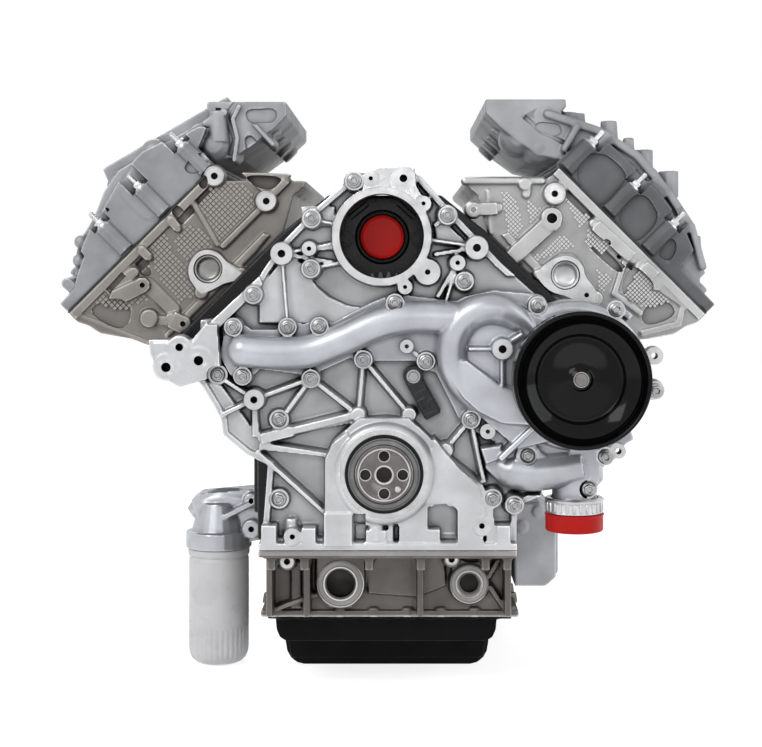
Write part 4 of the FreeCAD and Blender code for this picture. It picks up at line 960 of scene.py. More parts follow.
def grid_in(outline: Sequence[Point], pitch: float) -> list[Point]:
    """Grid points of a pitch that lie in an outline."""
    low = [min(p[i] for p in outline) for i in (0, 1)]
    high = [max(p[i] for p in outline) for i in (0, 1)]
    columns = range(int(low[0] / pitch) - 1, int(high[0] / pitch) + 2)
    rows = range(int(low[1] / pitch) - 1, int(high[1] / pitch) + 2)
    spots = [(a * pitch, b * pitch) for a in columns for b in rows]
    return [spot for spot in spots if inside(spot, outline)]


# ------------------------------------------------------------------ timing cover
@dataclass
class TimingCover:
    """Cast cover over the timing gears, with the fuel-pump ring, the seal bell, ribs and bosses."""

    foundry: Foundry
    web: float = 40.0
    boss_face: float = 15.0
    skim: float = 2.5
    ring_centre: Point = (-3.0, 284.0)
    ring_bore: float = 50.7
    ring_face: float = 12.0
    bolts: tuple[Point, ...] = ((-36, 350), (76, 309), (-87, 305), (-88, 245), (-157, 214), (96, 230),
                                (130, -30), (156, -38))
    recessed: tuple[Point, ...] = ((-201, 117), (-127, 63), (-127, -33))
    drilled: tuple[Point3, ...] = ((111, 270, 13.5), (-123, 263, 13), (-90, 269, 8.5), (88, 252, 9),
                                   (-156, 88, 12), (124, 50, 9), (117, -63, 10.5), (-110, -76, 10),
                                   (27, 152, 8))
    ring_lugs: tuple[Point3, ...] = ((-16, 353, 9), (23, 353, 13.5), (47, 323, 9), (52, 241, 15),
                                     (25, 223, 8.5))
    bracket_holes: tuple[Point3, ...] = ((-245, 151, 6.5), (-261, 127, 8.0), (-222, 135, 8.0))
    ribs: tuple[tuple[Point, Point], ...] = (((-25, 136), (-31, 70)), ((-25, 136), (30, 70)),
                                             ((-88, 113), (-32, 70)), ((-88, 113), (-156, 88)),
                                             ((-150, 34), (-60, 20)), ((-156, 88), (-156, 43)),
                                             ((-156, 88), (-194, 70)), ((104, 64), (74, 28)),
                                             ((104, 64), (120, -12)), ((76, 17), (117, -15)),
                                             ((-154, 26), (-70, -50)), ((-88, 113), (-118, 72)),
                                             ((-201, 117), (-156, 88)), ((27, 152), (50, 132)))
    thin_ribs: tuple[tuple[Point, Point], ...] = (((-90, 269), (-58, 276)), ((-90, 305), (-52, 297)),
                                                  ((-123, 263), (-90, 269)), ((52, 280), (108, 272)),
                                                  ((88, 252), (70, 192)), ((-123, 262), (-116, 176)),
                                                  ((-88, 245), (-52, 252)))

    def stock(self) -> list[Form]:
        """Closed forms that are melted together into the casting."""
        parts = [node_copy("front_cover")]
        parts += [boss(x, z, 11, self.boss_face - self.skim, self.web + 1, 2.5) for x, z in self.bolts]
        parts += [boss(x, z, 11.5, 30, self.web + 1, 2) for x, z in self.recessed]
        parts += [boss(x, z, r, self.boss_face - self.skim, self.web + 1, 2.0) for x, z,
                  r in self.drilled]
        parts += [boss(x, z, r, self.ring_face - self.skim, self.web + 1, 1.5) for x, z,
                  r in self.ring_lugs]
        parts += [boss(x, z, 16 if r > 7 else 14, 13, 40, 1) for x, z, r in self.bracket_holes]
        parts += [rib(a, b, 4.4, 9.5, 20.5, self.web + 1) for a, b in self.ribs]
        parts += [rib(a, b, 3.0, 6.5, 19.0, self.web + 1) for a, b in self.thin_ribs]
        parts += [rib((-148, 41), (-36, 69), 8.5, 14, 18.5, self.web + 1),
                  rib((-148, 41), (-110, 50), 12, 16, 18, self.web + 1)]
        parts += self.ring_stock() + self.bell_stock() + self.foot_blocks() + self.shoulder()
        return parts

    def ring_stock(self) -> list[Form]:
        """Round ring that seats the fuel pump, with the bridge to its top lugs."""
        x, z = self.ring_centre
        bore, face = self.ring_bore, self.ring_face
        profile = [(bore - 2, face - self.skim), (59.8, face - self.skim), (60.6, self.web + 4),
                   (bore - 2, self.web + 4)]
        bridge = [(-26, 334), (-24, 356), (-8, 366), (36, 366), (38, 344), (46, 330), (40, 322), (0, 342)]
        return [lathe("ring", profile, (x, 0, z)),
                slab("bridge", bridge, face - self.skim, self.web, 1.0)]

    def bell_stock(self) -> list[Form]:
        """Round shoulder about the crankshaft seal, with two boss stubs on its flanks."""
        profile = [(40, 6), (52, 6), (57, 7.5), (60.5, 11), (62.5, 16), (64.5, 26), (69, self.web + 4),
                   (40, self.web + 4)]
        stubs = [boss(-31, 70, 8.5, 17, 41, 2), boss(30, 70, 8, 18, 41, 2), boss(74, 27, 8.5, 16, 41, 2)]
        flank = [(-71, -84), (-71, 16), (-62, 36), (-44, 50), (-38, 20), (-38, -84)]
        right = [(60, 42), (88, 8), (112, -14), (121, -40), (118, -84), (88, -84), (88, -44), (80, -36),
                 (40, -36)]
        return [lathe("bell", profile, (0, 0, 0)), slab("flank", flank, 11, self.web + 2, 2),
                slab("flank", right, 12, self.web + 2, 3)] + stubs

    def foot_blocks(self) -> list[Form]:
        """Blocks and bolt pads that stand on the pan rail."""
        parts = [block((-72, -38), (9, 41), (-86, -47)), block((-147, -129), (12, 41), (-86, -62)),
                 block((-99, -82), (12, 41), (-86, -65)), block((18, 50), (14, 41), (-86, -40)),
                 block((49, 67), (13, 41), (-86, -67)), block((135, 151), (12, 41), (-86, -62)),
                 block((5, 11), (16, 41), (-86, -40)), block((-22, 2), (13, 41), (-86, -68))]
        parts += [peg(-10, 22, [(0, -80), (11, -80), (9.5, -64), (0, -64)]),
                  peg(-112, 30, [(0, -80), (9, -80), (7.5, -56), (0, -56)])]
        return parts + [block((-151, 159), (12, 84), (-92, -84))]

    def shoulder(self) -> list[Form]:
        """Raised skin left of the ring, bounded by an arc, and the arm's cast web."""
        raised = [(-150, 222), (-118, 262), (-96, 250), (-89, 234), (-80, 222), (-67, 211), (-45, 201),
                  (-17, 197), (5, 199), (5, 190), (-60, 178), (-150, 180)]
        arm = [(-274, 122), (-246, 108), (-214, 116), (-196, 128), (-200, 178), (-214, 178), (-228, 156),
               (-276, 156)]
        wing = [(-223, 112), (-206, 84), (-196, 66), (-192, 46), (-165, 23), (-150, 24), (-150, 40),
                (-196, 104)]
        band = [(-212, 178), (-150, 236), (-146, 226), (-200, 172)]
        fillet = [(60, 300), (78, 296), (100, 276), (64, 276)]
        return [slab("raised", raised, 27, self.web + 1, 3), slab("arm", arm, 14, 50, 2),
                slab("wing", wing, 27, 60, 0), slab("band", band, 19, 44, 1),
                block((-100, -60), (30, 41), (296, 320)), slab("fillet", fillet, 29, 41, 2)]

    def faces(self) -> list[Form]:
        """Faces milled flat after casting, and the bores that stay bright."""
        x, z = self.ring_centre
        bore, face = self.ring_bore, self.ring_face
        tools = [lathe("mill", [(bore - 6, 0), (59, 0), (59, face), (bore - 6, face)], (x, 0, z)),
                 lathe("bore", [(0, -1), (bore, -1), (bore, self.web + 8), (0, self.web + 8)], (x, 0, z))]
        tools += [boss(bx, bz, r + 1.5, 0, face) for bx, bz, r in self.ring_lugs]
        tools += [boss(bx, bz, r + 1.5, 0, self.boss_face) for bx, bz, r in self.drilled]
        tools += [boss(bx, bz, 12, 0, self.boss_face) for bx, bz in self.bolts]
        tools += [boss(bx, bz, 12, 0, 32) for bx, bz in self.recessed]
        tools.append(lathe("seal", [(0, 0), (53, 0), (53, 8), (47, 8), (47, self.web + 8),
                                    (0, self.web + 8)], (0, 0, 0)))
        return tools

    def holes(self) -> list[Form]:
        """Drilled holes, painted dark inside as their shadow."""
        lugs = zip_radius(self.ring_lugs, (2.6, 4.7, 2.5, 3.3, 2.5))
        drilled = zip_radius(self.drilled, (4.9, 4.7, 2.7, 2.7, 4.3, 2.6, 3.4, 3.2, 2.6))
        tools = [boss(bx, bz, r, 0, 40) for bx, bz, r in lugs]
        tools += [boss(bx, bz, r, 0, 38) for bx, bz, r in drilled]
        tools += [boss(bx, bz, r * 0.72, 0, 44) for bx, bz, r in self.bracket_holes]
        return tools

    def hollows(self) -> list[Form]:
        """Cast pockets between the feet of the bell."""
        pocket = [(53, -66), (53, -44), (60, -37), (74, -36), (86, -46), (86, -74), (68, -74), (68, -66)]
        return [slab("pocket", pocket, 0, 36), block((-37, -22), (0, 33), (-62, -47)),
                block((-37, -22), (0, 30), (-82, -60)),
                block((11, 17), (0, 30), (-82, -60))]

    def build(self) -> Form:
        """Cast, machine and place the cover."""
        paint = self.foundry.paint
        obj = self.foundry.cast("timing_cover", self.stock())
        skin, cut = paint.get(COVER_CAST), paint.get(MILLED)
        self.foundry.machine(obj, skin, [(self.hollows(), skin), (self.faces(), cut),
                                         (self.holes(), paint.get(HOLE_SHADOW))])
        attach(obj, "engine")
        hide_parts("front_cover")
        return obj


def zip_radius(spots: Sequence[Point3], radii: Sequence[float]) -> list[Point3]:
    """The same places with other radii."""
    return [(x, z, r) for (x, z, _), r in zip(spots, radii)]


# ------------------------------------------------------------------ coolant casting and pump
@dataclass
class CoolantCasting:
    """Crossover pipe, pump scroll, pump nose, inlet and neck in one smooth casting."""

    foundry: Foundry
    pump_axis: Point = (228.0, 117.0)
    neck_axis: Point3 = (230.0, 38.0, 0.0)
    flange: tuple[Point, ...] = ((-192, 170), (-181, 186), (-160, 172), (-128, 172), (-116, 186),
                                 (-97, 178), (-78, 188), (-62, 180), (-16, 204), (13, 216), (34, 212),
                                 (86, 206), (98, 212), (132, 219), (184, 214), (206, 190), (206, 40),
                                 (160, 22), (104, 52), (92, 60), (80, 84), (62, 120), (50, 122),
                                 (36, 134), (-14, 134), (-25, 124), (-40, 138), (-76, 122), (-88, 101),
                                 (-102, 118), (-150, 124), (-170, 104), (-186, 118), (-198, 140))
    crossover: tuple[Point3, ...] = ((-168, 13, 147), (-131, 13, 144), (-90, 13, 146), (-48, 13, 161),
                                     (-8, 13, 179), (32, 13, 187), (78, 14, 186), (92, 12, 184),
                                     (104, 11, 184))
    scroll: tuple[Point3, ...] = ((176, 14, 172), (160, 12, 184), (142, 10, 194), (122, 9, 197),
                                  (101, 10, 189), (86, 11, 171), (81, 12, 147), (85, 13, 123),
                                  (98, 14, 101), (119, 15, 84), (146, 16, 72), (172, 18, 66))
    floor: tuple[Point, ...] = ((84, 187), (98, 201), (132, 208), (166, 198), (200, 178), (200, 40),
                                (160, 30), (118, 66), (93, 84), (75, 113), (68, 143), (70, 166))
    plateau: tuple[Point, ...] = ((98, 136), (139, 105), (168, 96), (172, 60), (140, 62), (112, 76),
                                  (94, 92), (82, 112), (76, 134))
    bolts: tuple[Point, ...] = ((-181, 175), (-116, 175), (-78, 176), (13, 204), (-170, 116), (-88, 113),
                                (-25, 136), (50, 134), (184, 201), (104, 64), (278, 196), (325, 99),
                                (245, -19), (265, 20))
    sunken_bolt: Point = (172.0, 21.0)
    bolt_face: float = 18.0
    pipe_radius: float = 19.5
    skim: float = 2.5

    def stock(self) -> list[Form]:
        """Closed forms that are melted together into the casting."""
        parts = [slab("flange", self.flange, 25, 40, 1.5)]
        parts += [sweep("pipe", self.crossover, (self.pipe_radius,) * len(self.crossover), 1.0, 36),
                  self.dome(self.crossover[0], self.pipe_radius),
                  sweep("scroll", self.scroll, (10, 15, 18, 19, 19, 18.5, 18, 18, 17.5, 17, 16, 15), 1.05,
                        36)]
        parts += [slab("floor", self.floor, 7, 40, 2), slab("plateau", self.plateau, -5, 20, 3)]
        parts += [slab("lid", [(64, 128), (66, 166), (84, 176), (84, 120)], 10, 30, 0)]
        parts += [boss(x, z, 10.8, self.bolt_face - self.skim, 40, 2.5) for x, z in self.bolts]
        parts += self.pump_stock() + self.inlet_stock()
        return parts

    def dome(self, place: Point3, radius: float) -> Form:
        """Round end of a cast pipe."""
        turns = np.linspace(-math.pi / 2, math.pi / 2, 15)
        profile = [(radius * math.cos(a), radius * math.sin(a)) for a in turns]
        profile[0], profile[-1] = (0, -radius), (0, radius)
        return lathe("dome", profile, place, Axis.REARWARD, 40)

    def pump_stock(self) -> list[Form]:
        """Pump nose with its ribs, lugs and the drilled boss in the scroll's hollow."""
        x, z = self.pump_axis
        nose = [(0, -30), (22, -30), (27, -27), (34, -12), (56, 0), (64, 8), (82, 8), (88, 11), (89, 16),
                (90, 40), (0, 40)]
        skirt = [(172, 40), (292, 62), (300, 40), (270, 24), (200, 10)]
        parts = [lathe("nose", nose, (x, 0, z)), boss(140, 150, 11.8, -14, 20, 2)]
        parts += [rib((100, 150), (130, 150), 3.2, 6, -5, 12),
                  rib((140, 142), (140, 104), 3.2, 6, -5, 12), rib((148, 158), (164, 168), 4, 8, -8, 12),
                  rib((136, 64), (166, 84), 5, 12, -2, 20), rib((138, 18), (182, 60), 6, 13, 2, 26)]
        parts += [boss(323, 141, 10.5, 8, 30, 1), rib((296, 137), (323, 141), 14, 18, 12, 30),
                  rib((288, 110), (325, 99), 17, 20, 17, 40), rib((270, 178), (280, 198), 16, 20, 17, 40),
                  rib((284, 196), (296, 186), 8, 10, 19, 34), rib((256, 36), (284, 25), 17, 19, 17, 40),
                  boss(281, 26, 9, 16, 40, 1), slab("skirt", skirt, 20, 40, 2)]
        return parts

    def inlet_stock(self) -> list[Form]:
        """Swollen inlet passage, the neck below it and the neck's lug."""
        x, y, _ = self.neck_axis
        path = ((134, 30, 12), (152, 27, 2), (178, 25, 0), (208, 25, 3), (236, 27, 8))
        neck = [(0, -50), (29, -50), (29, -34), (27, -30), (26, 12), (0, 12)]
        return [sweep("inlet", path, (14, 21, 23, 22, 21), 1.0, 36), peg(x, y, neck, 96),
                slab("inlet_top", [(130, 28), (122, 30), (122, 6), (136, -8), (240, 30), (206, 36)], 16,
                     40, 4), slab("inlet_end", [(222, 30), (262, 30), (262, -8), (254, -16), (222, -16)],
                                  12, 46, 2),
                slab("lug", [(116, 30), (140, 34), (138, 18), (122, 12)], 9, 36, 3),
                boss(172, 21, 15, 10, 30, 2), slab("tip", [(172, 34), (196, 20), (172, 8)], 10.5, 30, 2),
                rib((238, 0), (245, -19), 17, 20, 17, 40)]

    def faces(self) -> list[Form]:
        """Milled bolt seats and the shaft bore."""
        x, z = self.pump_axis
        tools = [boss(bx, bz, 11.8, -2, self.bolt_face) for bx, bz in self.bolts]
        tools += [boss(140, 150, 15, -30, -12), boss(323, 141, 12, -4, 10.5), boss(281, 26, 10.5, 4, 18),
                  boss(172, 21, 10.8, -4, 18)]
        tools.append(lathe("shaft_bore", [(0, -34), (9.1, -34), (9.1, 12), (44, 12), (44, 41), (0, 41)],
                           (x, 0, z)))
        return tools

    def holes(self) -> list[Form]:
        """Drilled holes, painted dark inside as their shadow."""
        return [boss(140, 150, 4.8, -30, 10), boss(323, 141, 4, -4, 45), boss(281, 26, 3.6, 4, 45)]

    def hollows(self) -> list[Form]:
        """Cast hollows: the neck's mouth and the groove about the sunken bolt's lug."""
        x, y, _ = self.neck_axis
        return [peg(x, y, [(0, -51), (24, -51), (24, -7), (0, -7)], 96),
                block((60, 196), (40, 60), (-60, 60))]

    def build(self) -> Form:
        """Cast, machine and place the casting."""
        paint = self.foundry.paint
        obj = self.foundry.cast("coolant_casting", self.stock())
        skin, cut = paint.get(HOUSING_CAST), paint.get(MILLED)
        self.foundry.machine(obj, skin, [(self.hollows(), skin), (self.faces(), cut),
                                         (self.holes(), paint.get(HOLE_SHADOW))])
        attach(obj, "engine")
        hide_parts("coolant_housing")
        return obj


@dataclass
class NeckDressing:
    """Ribbed hose clamp on the coolant neck and the red shipping cap below it."""

    paint: Paintshop
    setting: SettingOut
    axis: Point = (230.0, 38.0)
    top: float = -33.0
    mouth: float = -50.0
    radius: float = 36.0
    flutes: int = 26

    def clamp(self) -> Form:
        """Clamp band with upright flutes all round."""
        x, y = self.axis
        r = self.radius
        band = peg(x, y, [(29.1, self.mouth + 1), (r - 2, self.mouth + 1), (r - 2, self.top - 4),
                          (r - 1, self.top - 3), (r, self.top), (r - 2, self.top + 2),
                          (29.1, self.top + 2)], 72)
        dress(band, self.paint.get(ZINC_STEEL))
        master = soften(block((-1.6, 1.6), (-1.4, 1.4), (-6.0, 6.0)), 0.8, 1)
        reach, middle = r - 1.9, (self.mouth + self.top) / 2
        spots = []
        for i in range(self.flutes):
            angle = 2 * math.pi * i / self.flutes
            place = (x + reach * math.cos(angle), y + reach * math.sin(angle), middle)
            spots.append(Spot(place, (0, 0, angle + math.pi / 2)))
        flutes = self.setting.plant("neck_flutes", master, spots, self.paint.get(ZINC_STEEL))
        obj = join("neck_clamp", [band, flutes])
        dress(obj, self.paint.get(ZINC_STEEL))
        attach(obj, "engine")
        return obj

    def cap(self) -> Form:
        """Red push-on cap with a rolled lip."""
        x, y = self.axis
        low = self.mouth - 22
        profile = [(0, low), (31, low), (34, low + 0.8), (35, low + 3), (35, self.mouth - 3),
                   (36, self.mouth - 2.2), (36, self.mouth - 0.4), (23.9, self.mouth - 0.4),
                   (23.9, self.mouth + 12), (22, self.mouth + 12), (22, low + 6), (0, low + 6)]
        obj = soften(lathe("coolant_cap_moulding", profile, (x, y, 0), Axis.UPWARD, 96), 0.5)
        dress(obj, self.paint.get(RED_PLUG))
        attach(obj, "coolant_cap")
        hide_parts("coolant_cap")
        return obj

    def build(self) -> list[Form]:
        """Both pieces."""
        return [self.clamp(), self.cap()]


@dataclass
class PumpDrive:
    """Gloss-black pressed pulley on the pump's shaft."""

    paint: Paintshop
    axis: Point = (228.0, 117.0)
    radius: float = 79.7
    front: float = -75.0
    back: float = -36.0

    def build(self) -> list[Form]:
        """Turn the pulley and the stub in its middle."""
        r, f = self.radius, self.front
        profile = [(8.1, -56), (10, -55.6), (13, -52.6), (17, -50.4), (21, -49.4), (34, -47.4),
                   (47, -45.6), (49.2, -45.9), (50.6, -47.4), (51.6, -50.2), (53, -51.6), (58, -54.4),
                   (66, -61), (71.5, -66.6), (73.6, f + 4), (75.2, f + 1), (77.3, f), (79.2, f + 1),
                   (r, f + 3.5), (79.0, f + 7), (79.0, self.back - 5), (r, self.back - 2),
                   (79.2, self.back), (77.0, self.back), (76.6, f + 9), (72, -62), (66, -56), (60, -49),
                   (54, -44), (48, -41.2), (20, -42.5), (8.1, -42.5)]
        x, z = self.axis
        pulley = lathe("pulley_pressing", profile, (x, 0, z), Axis.REARWARD, 160)
        dress(pulley, self.paint.get(PULLEY_BLACK), 60)
        stub = soften(lathe("pump_stub", [(0, -60), (7.2, -60), (8.0, -59), (8.0, -46), (0, -46)],
                            (x, 0, z), Axis.REARWARD, 64), 0.4)
        dress(stub, self.paint.get(STUB_STEEL))
        for obj in (pulley, stub):
            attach(obj, "pump_rotor")
        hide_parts("water_pump_pulley")
        return [pulley, stub]


# ------------------------------------------------------------------ cylinder heads
@dataclass(frozen=True)
class HeadDetail:
    """What sets one head's front face apart; x is measured outward from the engine's middle."""

    front: float
    washers: tuple[Point3, ...]
    bosses: tuple[Point3, ...]
    holes: tuple[Point3, ...]
    bars: tuple[tuple[Point, Point, float, float], ...]
    plug: Point
    plate: tuple[Point, ...]
    capsules: tuple[tuple[Point, Point, float], ...]
    waffles: tuple[tuple[Point, ...], ...]
    pitch: float
    pockets: tuple[tuple[tuple[Point, ...], float], ...]


HEAD_DETAILS = {
    Side.RIGHT: HeadDetail(
        front=95.0,
        washers=((211.5, 338, 11.6), (314, 216, 11.6)),
        bosses=((262.5, 208, 8.5), (110, 318, 9.5), (207.7, 307.5, 13), (174, 350, 7), (251, 212, 9)),
        holes=((211.5, 338, 4.2), (314, 216, 4.2), (110, 318, 3.6), (207.7, 307.5, 6.5), (251, 212, 3.0)),
        bars=(((203, 299), (159, 259), 24, -7), ((260, 301), (309, 257), 13, -5),
              ((232, 226), (262, 208), 15, -6), ((206, 232), (191, 238), 15, -6),
              ((319, 246), (338, 225), 18, -5), ((110, 318), (141, 321), 14, -4),
              ((100, 354), (196, 354), 8, -5), ((300, 258), (286, 214), 8, -4),
              ((286, 214), (318, 190), 9, -4), ((178, 350), (176, 338), 12, -5),
              ((340, 222), (372, 200), 9, -3), ((366, 176), (322, 165), 9, -3),
              ((128, 342), (132, 290), 5, -2), ((372, 200), (366, 176), 9, -3)),
        plug=(224.6, 236.9),
        plate=((188, 238), (199, 250.6), (215.8, 259.9), (232.3, 258.8), (244.7, 250.6), (248.8, 236),
               (264, 217), (264, 204), (250, 198), (224, 211.3), (207.5, 215.4), (195, 226)),
        capsules=(((254, 284), (296, 244), 5.0),),
        waffles=(((-140.6, 345), (-119.7, 351), (-90, 333), (-79.5, 302)),
                 ((-109, 361), (-79.5, 364), (-84, 339)),
                 ((-76.5, 394), (-39, 398.5), (-36, 381)),
                 ((-50, 358), (-51, 306), (-24, 363)),
                 ((14, 360), (35, 366), (43, 334.5)),
                 ((-34, 398), (2, 404), (6, 378), (-20, 372)),
                 ((52, 398), (112, 404), (96, 372), (62, 352))),
        pitch=3.9,
        pockets=((((306, 254), (290, 216), (316, 194), (338, 220), (330, 234)), 1.5),
                 (((338, 216), (364, 197), (360, 182), (326, 171), (316, 186)), 3.0),
                 (((246, 278), (256, 288), (300, 246), (292, 236)), 9.0),
                 (((264, 276), (276, 284), (284, 276), (272, 266)), 2.0))),
    Side.LEFT: HeadDetail(
        front=125.0,
        washers=((215.5, 361.7, 11.2), (150, 330, 11.6)),
        bosses=((306, 224, 9), (298, 182, 11), (255, 175, 10), (182, 238, 8), (231.6, 215, 8)),
        holes=((215.5, 361.7, 4.4), (150, 330, 4.4), (306, 224, 3.4), (255, 175, 3.6)),
        bars=(((306, 224), (341, 208), 18, -7), ((272, 308), (261.5, 295), 10, -6),
              ((308.6, 270), (298, 259), 10, -6), ((150, 330), (124, 356), 8, -5),
              ((209, 252), (182, 238), 13, -5), ((270, 181), (252, 173), 20, -5),
              ((298, 182), (262, 176), 14, -4), ((241, 326), (212, 276), 7, -3),
              ((204, 274), (158, 320), 9, -5), ((300, 225), (268, 193), 22, -3),
              ((346, 217), (318, 240), 16, -4), ((392, 188), (300, 152), 5, -2)),
        plug=(223.5, 244.5),
        plate=((248, 250.6), (237.2, 265.3), (224.6, 269.5), (207.9, 262), (196, 249), (180, 239),
               (184, 231), (203.7, 226), (218.3, 218), (231, 213), (238, 219), (248, 234)),
        capsules=(((330, 238), (350, 216), 4.0),),
        waffles=(((-92, 401), (-113, 392), (-122, 374), (-118.5, 348), (-49, 340), (-56.5, 396)),
                 ((-28.5, 395), (-43.6, 377), (-40.6, 347), (-2.8, 354.5), (-5.8, 385)),
                 ((15, 412), (-15, 412), (3, 376), (-1, 353), (12, 321), (43, 324), (35, 374)),
                 ((58, 396), (118, 404), (100, 372), (66, 356))),
        pitch=5.2,
        pockets=((((180, 364), (126, 362), (138, 346), (150, 343), (168, 350)), 12.0),
                 (((272, 318), (264, 328), (252, 318), (252, 308), (264, 306)), 5.0),
                 (((313, 243), (304, 252), (294, 243), (296, 234), (308, 234)), 4.0),
                 (((240, 356), (226, 366), (222, 352), (230, 342)), 6.0),
                 (((316, 196), (340, 212), (384, 192), (330, 160)), 2.0)))}


@dataclass
class BankCasting:
    """Casting that stands on one bank."""

    foundry: Foundry
    side: Side

    def across(self, points: Iterable[Point]) -> list[Point]:
        """Front-view points of this bank from outward distances."""
        return [(self.side.value * x, z) for x, z in points]


@dataclass
class CylinderHead(BankCasting):
    """Cast head whose front face carries bosses, passages and waffled fields."""

    setting: SettingOut

    @property
    def detail(self) -> HeadDetail:
        """This bank's details."""
        return HEAD_DETAILS[self.side]

    @property
    def skin(self) -> CastFinish:
        """Cast skin, with painted shade darkening what lies behind the front face, so that what stands
        proud reads lighter.
        """
        front = self.detail.front
        colour = (0.33, 0.308, 0.285) if self.side is Side.LEFT else (0.60, 0.60, 0.595)
        return replace(HEAD_CAST, name="head_cast_" + self.side.word, colour=colour,
                       relief=(front - 4, front + 3))

    def stock(self) -> list[Form]:
        """Closed forms melted into the casting."""
        d, front = self.detail, self.detail.front
        parts = [node_copy("cylinder_head_" + self.side.word)]
        for x, z, r in d.washers:
            parts.append(boss(self.side.value * x, z, r + 1.5, front - 8, front + 3, 3))
        for x, z, r in d.bosses:
            parts.append(boss(self.side.value * x, z, r, front - 7, front + 3, 2.5))
        for a, b, width, rise in d.bars:
            start, end = self.across((a, b))
            parts.append(rib(start, end, width * 0.72, width + 4, front + rise, front + 3))
            parts += [boss(p[0], p[1], width * 0.36, front + rise, front + 3, width * 0.14 + 2)
                      for p in (start, end)]
        parts.append(slab("plate", self.across(rounded(d.plate, 1)), front - 6.5, front + 3, 2))
        if self.side is Side.LEFT:
            web = [(182, 366.5), (119, 364.5), (131, 345), (150, 330), (157, 343)]
            parts.append(slab("flange_web", self.across(web), front - 5, front + 24, 0))
        x, z = d.plug
        parts.append(boss(self.side.value * x, z, 24, front - 6.5, front + 3, 2))
        belly = bank_outline([(-100, 306), (-70, 303), (-20, 303), (40, 303), (84, 306), (84, 312),
                              (-96, 314)], self.side)
        parts.append(slab("deck_rail", belly, front - 3, front + 3, 1))
        rail = bank_outline([(-108, 404), (148, 404), (148, 415.5), (-108, 415.5)], self.side)
        parts.append(slab("cover_rail", rail, front - 4, front + 3, 0))
        return parts + self.exhaust_stock()

    def exhaust_stock(self) -> list[Form]:
        """Swellings below each exhaust port and a rib between the ports."""
        parts = []
        x, z = bank_point(-146, 357.5, self.side)
        for y in (174, 288, 402, 516) if self.side is Side.RIGHT else (204, 318, 432, 546):
            profile = [(0, z - 46), (16, z - 46), (27, z - 20), (29, z - 1), (0, z - 1)]
            parts.append(peg(x + self.side.value * 6, y, profile, 32))
        return parts

    def tools(self) -> tuple[list[Form], list[Form], list[Form]]:
        """Cast sinks, milled faces and drilled holes."""
        d, front = self.detail, self.detail.front
        sign = self.side.value
        x, z = d.plug
        sinks = [boss(sign * x, z, 18.4, front - 12, front + 3)]
        sinks += [slab("pocket", self.across(rounded(outline)), front - 9, front + depth, -1.5)
                  for outline, depth in d.pockets]
        for a, b, r in d.capsules:
            start, end = self.across((a, b))
            sinks.append(rib(start, end, 2 * r, 2 * r, front - 14, front + 1))
        faces = [boss(sign * wx, wz, r + 0.4, front - 12, front - 5) for wx, wz, r in d.washers]
        faces.append(slab("skim", self.across(d.plate), front - 14, front - 5.4, 0))
        holes = [boss(sign * hx, hz, r, front - 16, front + 10, 0, 28) for hx, hz, r in d.holes]
        return sinks, faces, holes

    def fields(self) -> Form:
        """Waffled fields on the front face."""
        d = self.detail
        spots = []
        for outline in d.waffles:
            for u, v in grid_in(outline, d.pitch):
                x, z = bank_point(u, v, self.side)
                spots.append(Spot((x, d.front, z), (0, math.radians(45), 0), (d.pitch, 1.0, d.pitch)))
        # The relief range lies in front of the pads, so the whole field takes the skin's full painted
        # relief shade.
        skin = replace(self.skin, name="waffle_cast_" + self.side.word, edge_lift=1.0, relief=(0.0, 1.0))
        obj = self.setting.plant("waffle_" + self.side.word, waffle_pad(), spots,
                                 self.foundry.paint.get(skin), 1.0, 25)
        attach(obj, "engine")
        return obj

    def core_plug(self) -> Form:
        """Dished plug pressed into its socket."""
        x, z = self.detail.plug
        f = self.detail.front
        profile = [(0, f + 1.5), (10, f + 1.2), (13.5, f - 0.2), (15, f - 2.6), (17, f - 3.2),
                   (18.1, f - 2.2), (18.1, f + 3.6), (0, f + 3.6)]
        obj = lathe("core_plug_" + self.side.word, profile, (self.side.value * x, 0, z), Axis.REARWARD,
                    72)
        dress(obj, self.foundry.paint.get(MILLED if self.side is Side.RIGHT else PLUG_STEEL))
        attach(obj, "engine")
        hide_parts("core_plugs")
        return obj

    def build(self) -> list[Form]:
        """Cast the head and set out its fields and plug."""
        paint = self.foundry.paint
        obj = self.foundry.cast("head_casting_" + self.side.word, self.stock())
        sinks, faces, holes = self.tools()
        skin = paint.get(self.skin)
        # Holes take the near-black finish painted as their shadow.
        self.foundry.machine(obj, skin, [(sinks, skin), (faces, paint.get(MILLED)),
                                         (holes, paint.get(HOLE_SHADOW))])
        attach(obj, "engine")
        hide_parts("cylinder_head_" + self.side.word)
        return [obj, self.fields(), self.core_plug()]


# ------------------------------------------------------------------ rocker covers
@dataclass(frozen=True)
class RockerDetail:
    """What sets one rocker cover's front apart; x is measured outward from the engine's middle."""

    front: float
    wall: tuple[Point, ...]
    cells: tuple[tuple[Point, ...], ...]
    grooves: tuple[Point3, ...]
    hollows: tuple[tuple[float, tuple[Point, ...]], ...]
    uprights: tuple[tuple[float, float, float, float], ...]
    bars: tuple[tuple[Point, Point, float, float], ...]
    swells: tuple[tuple[float, float, float, float], ...]


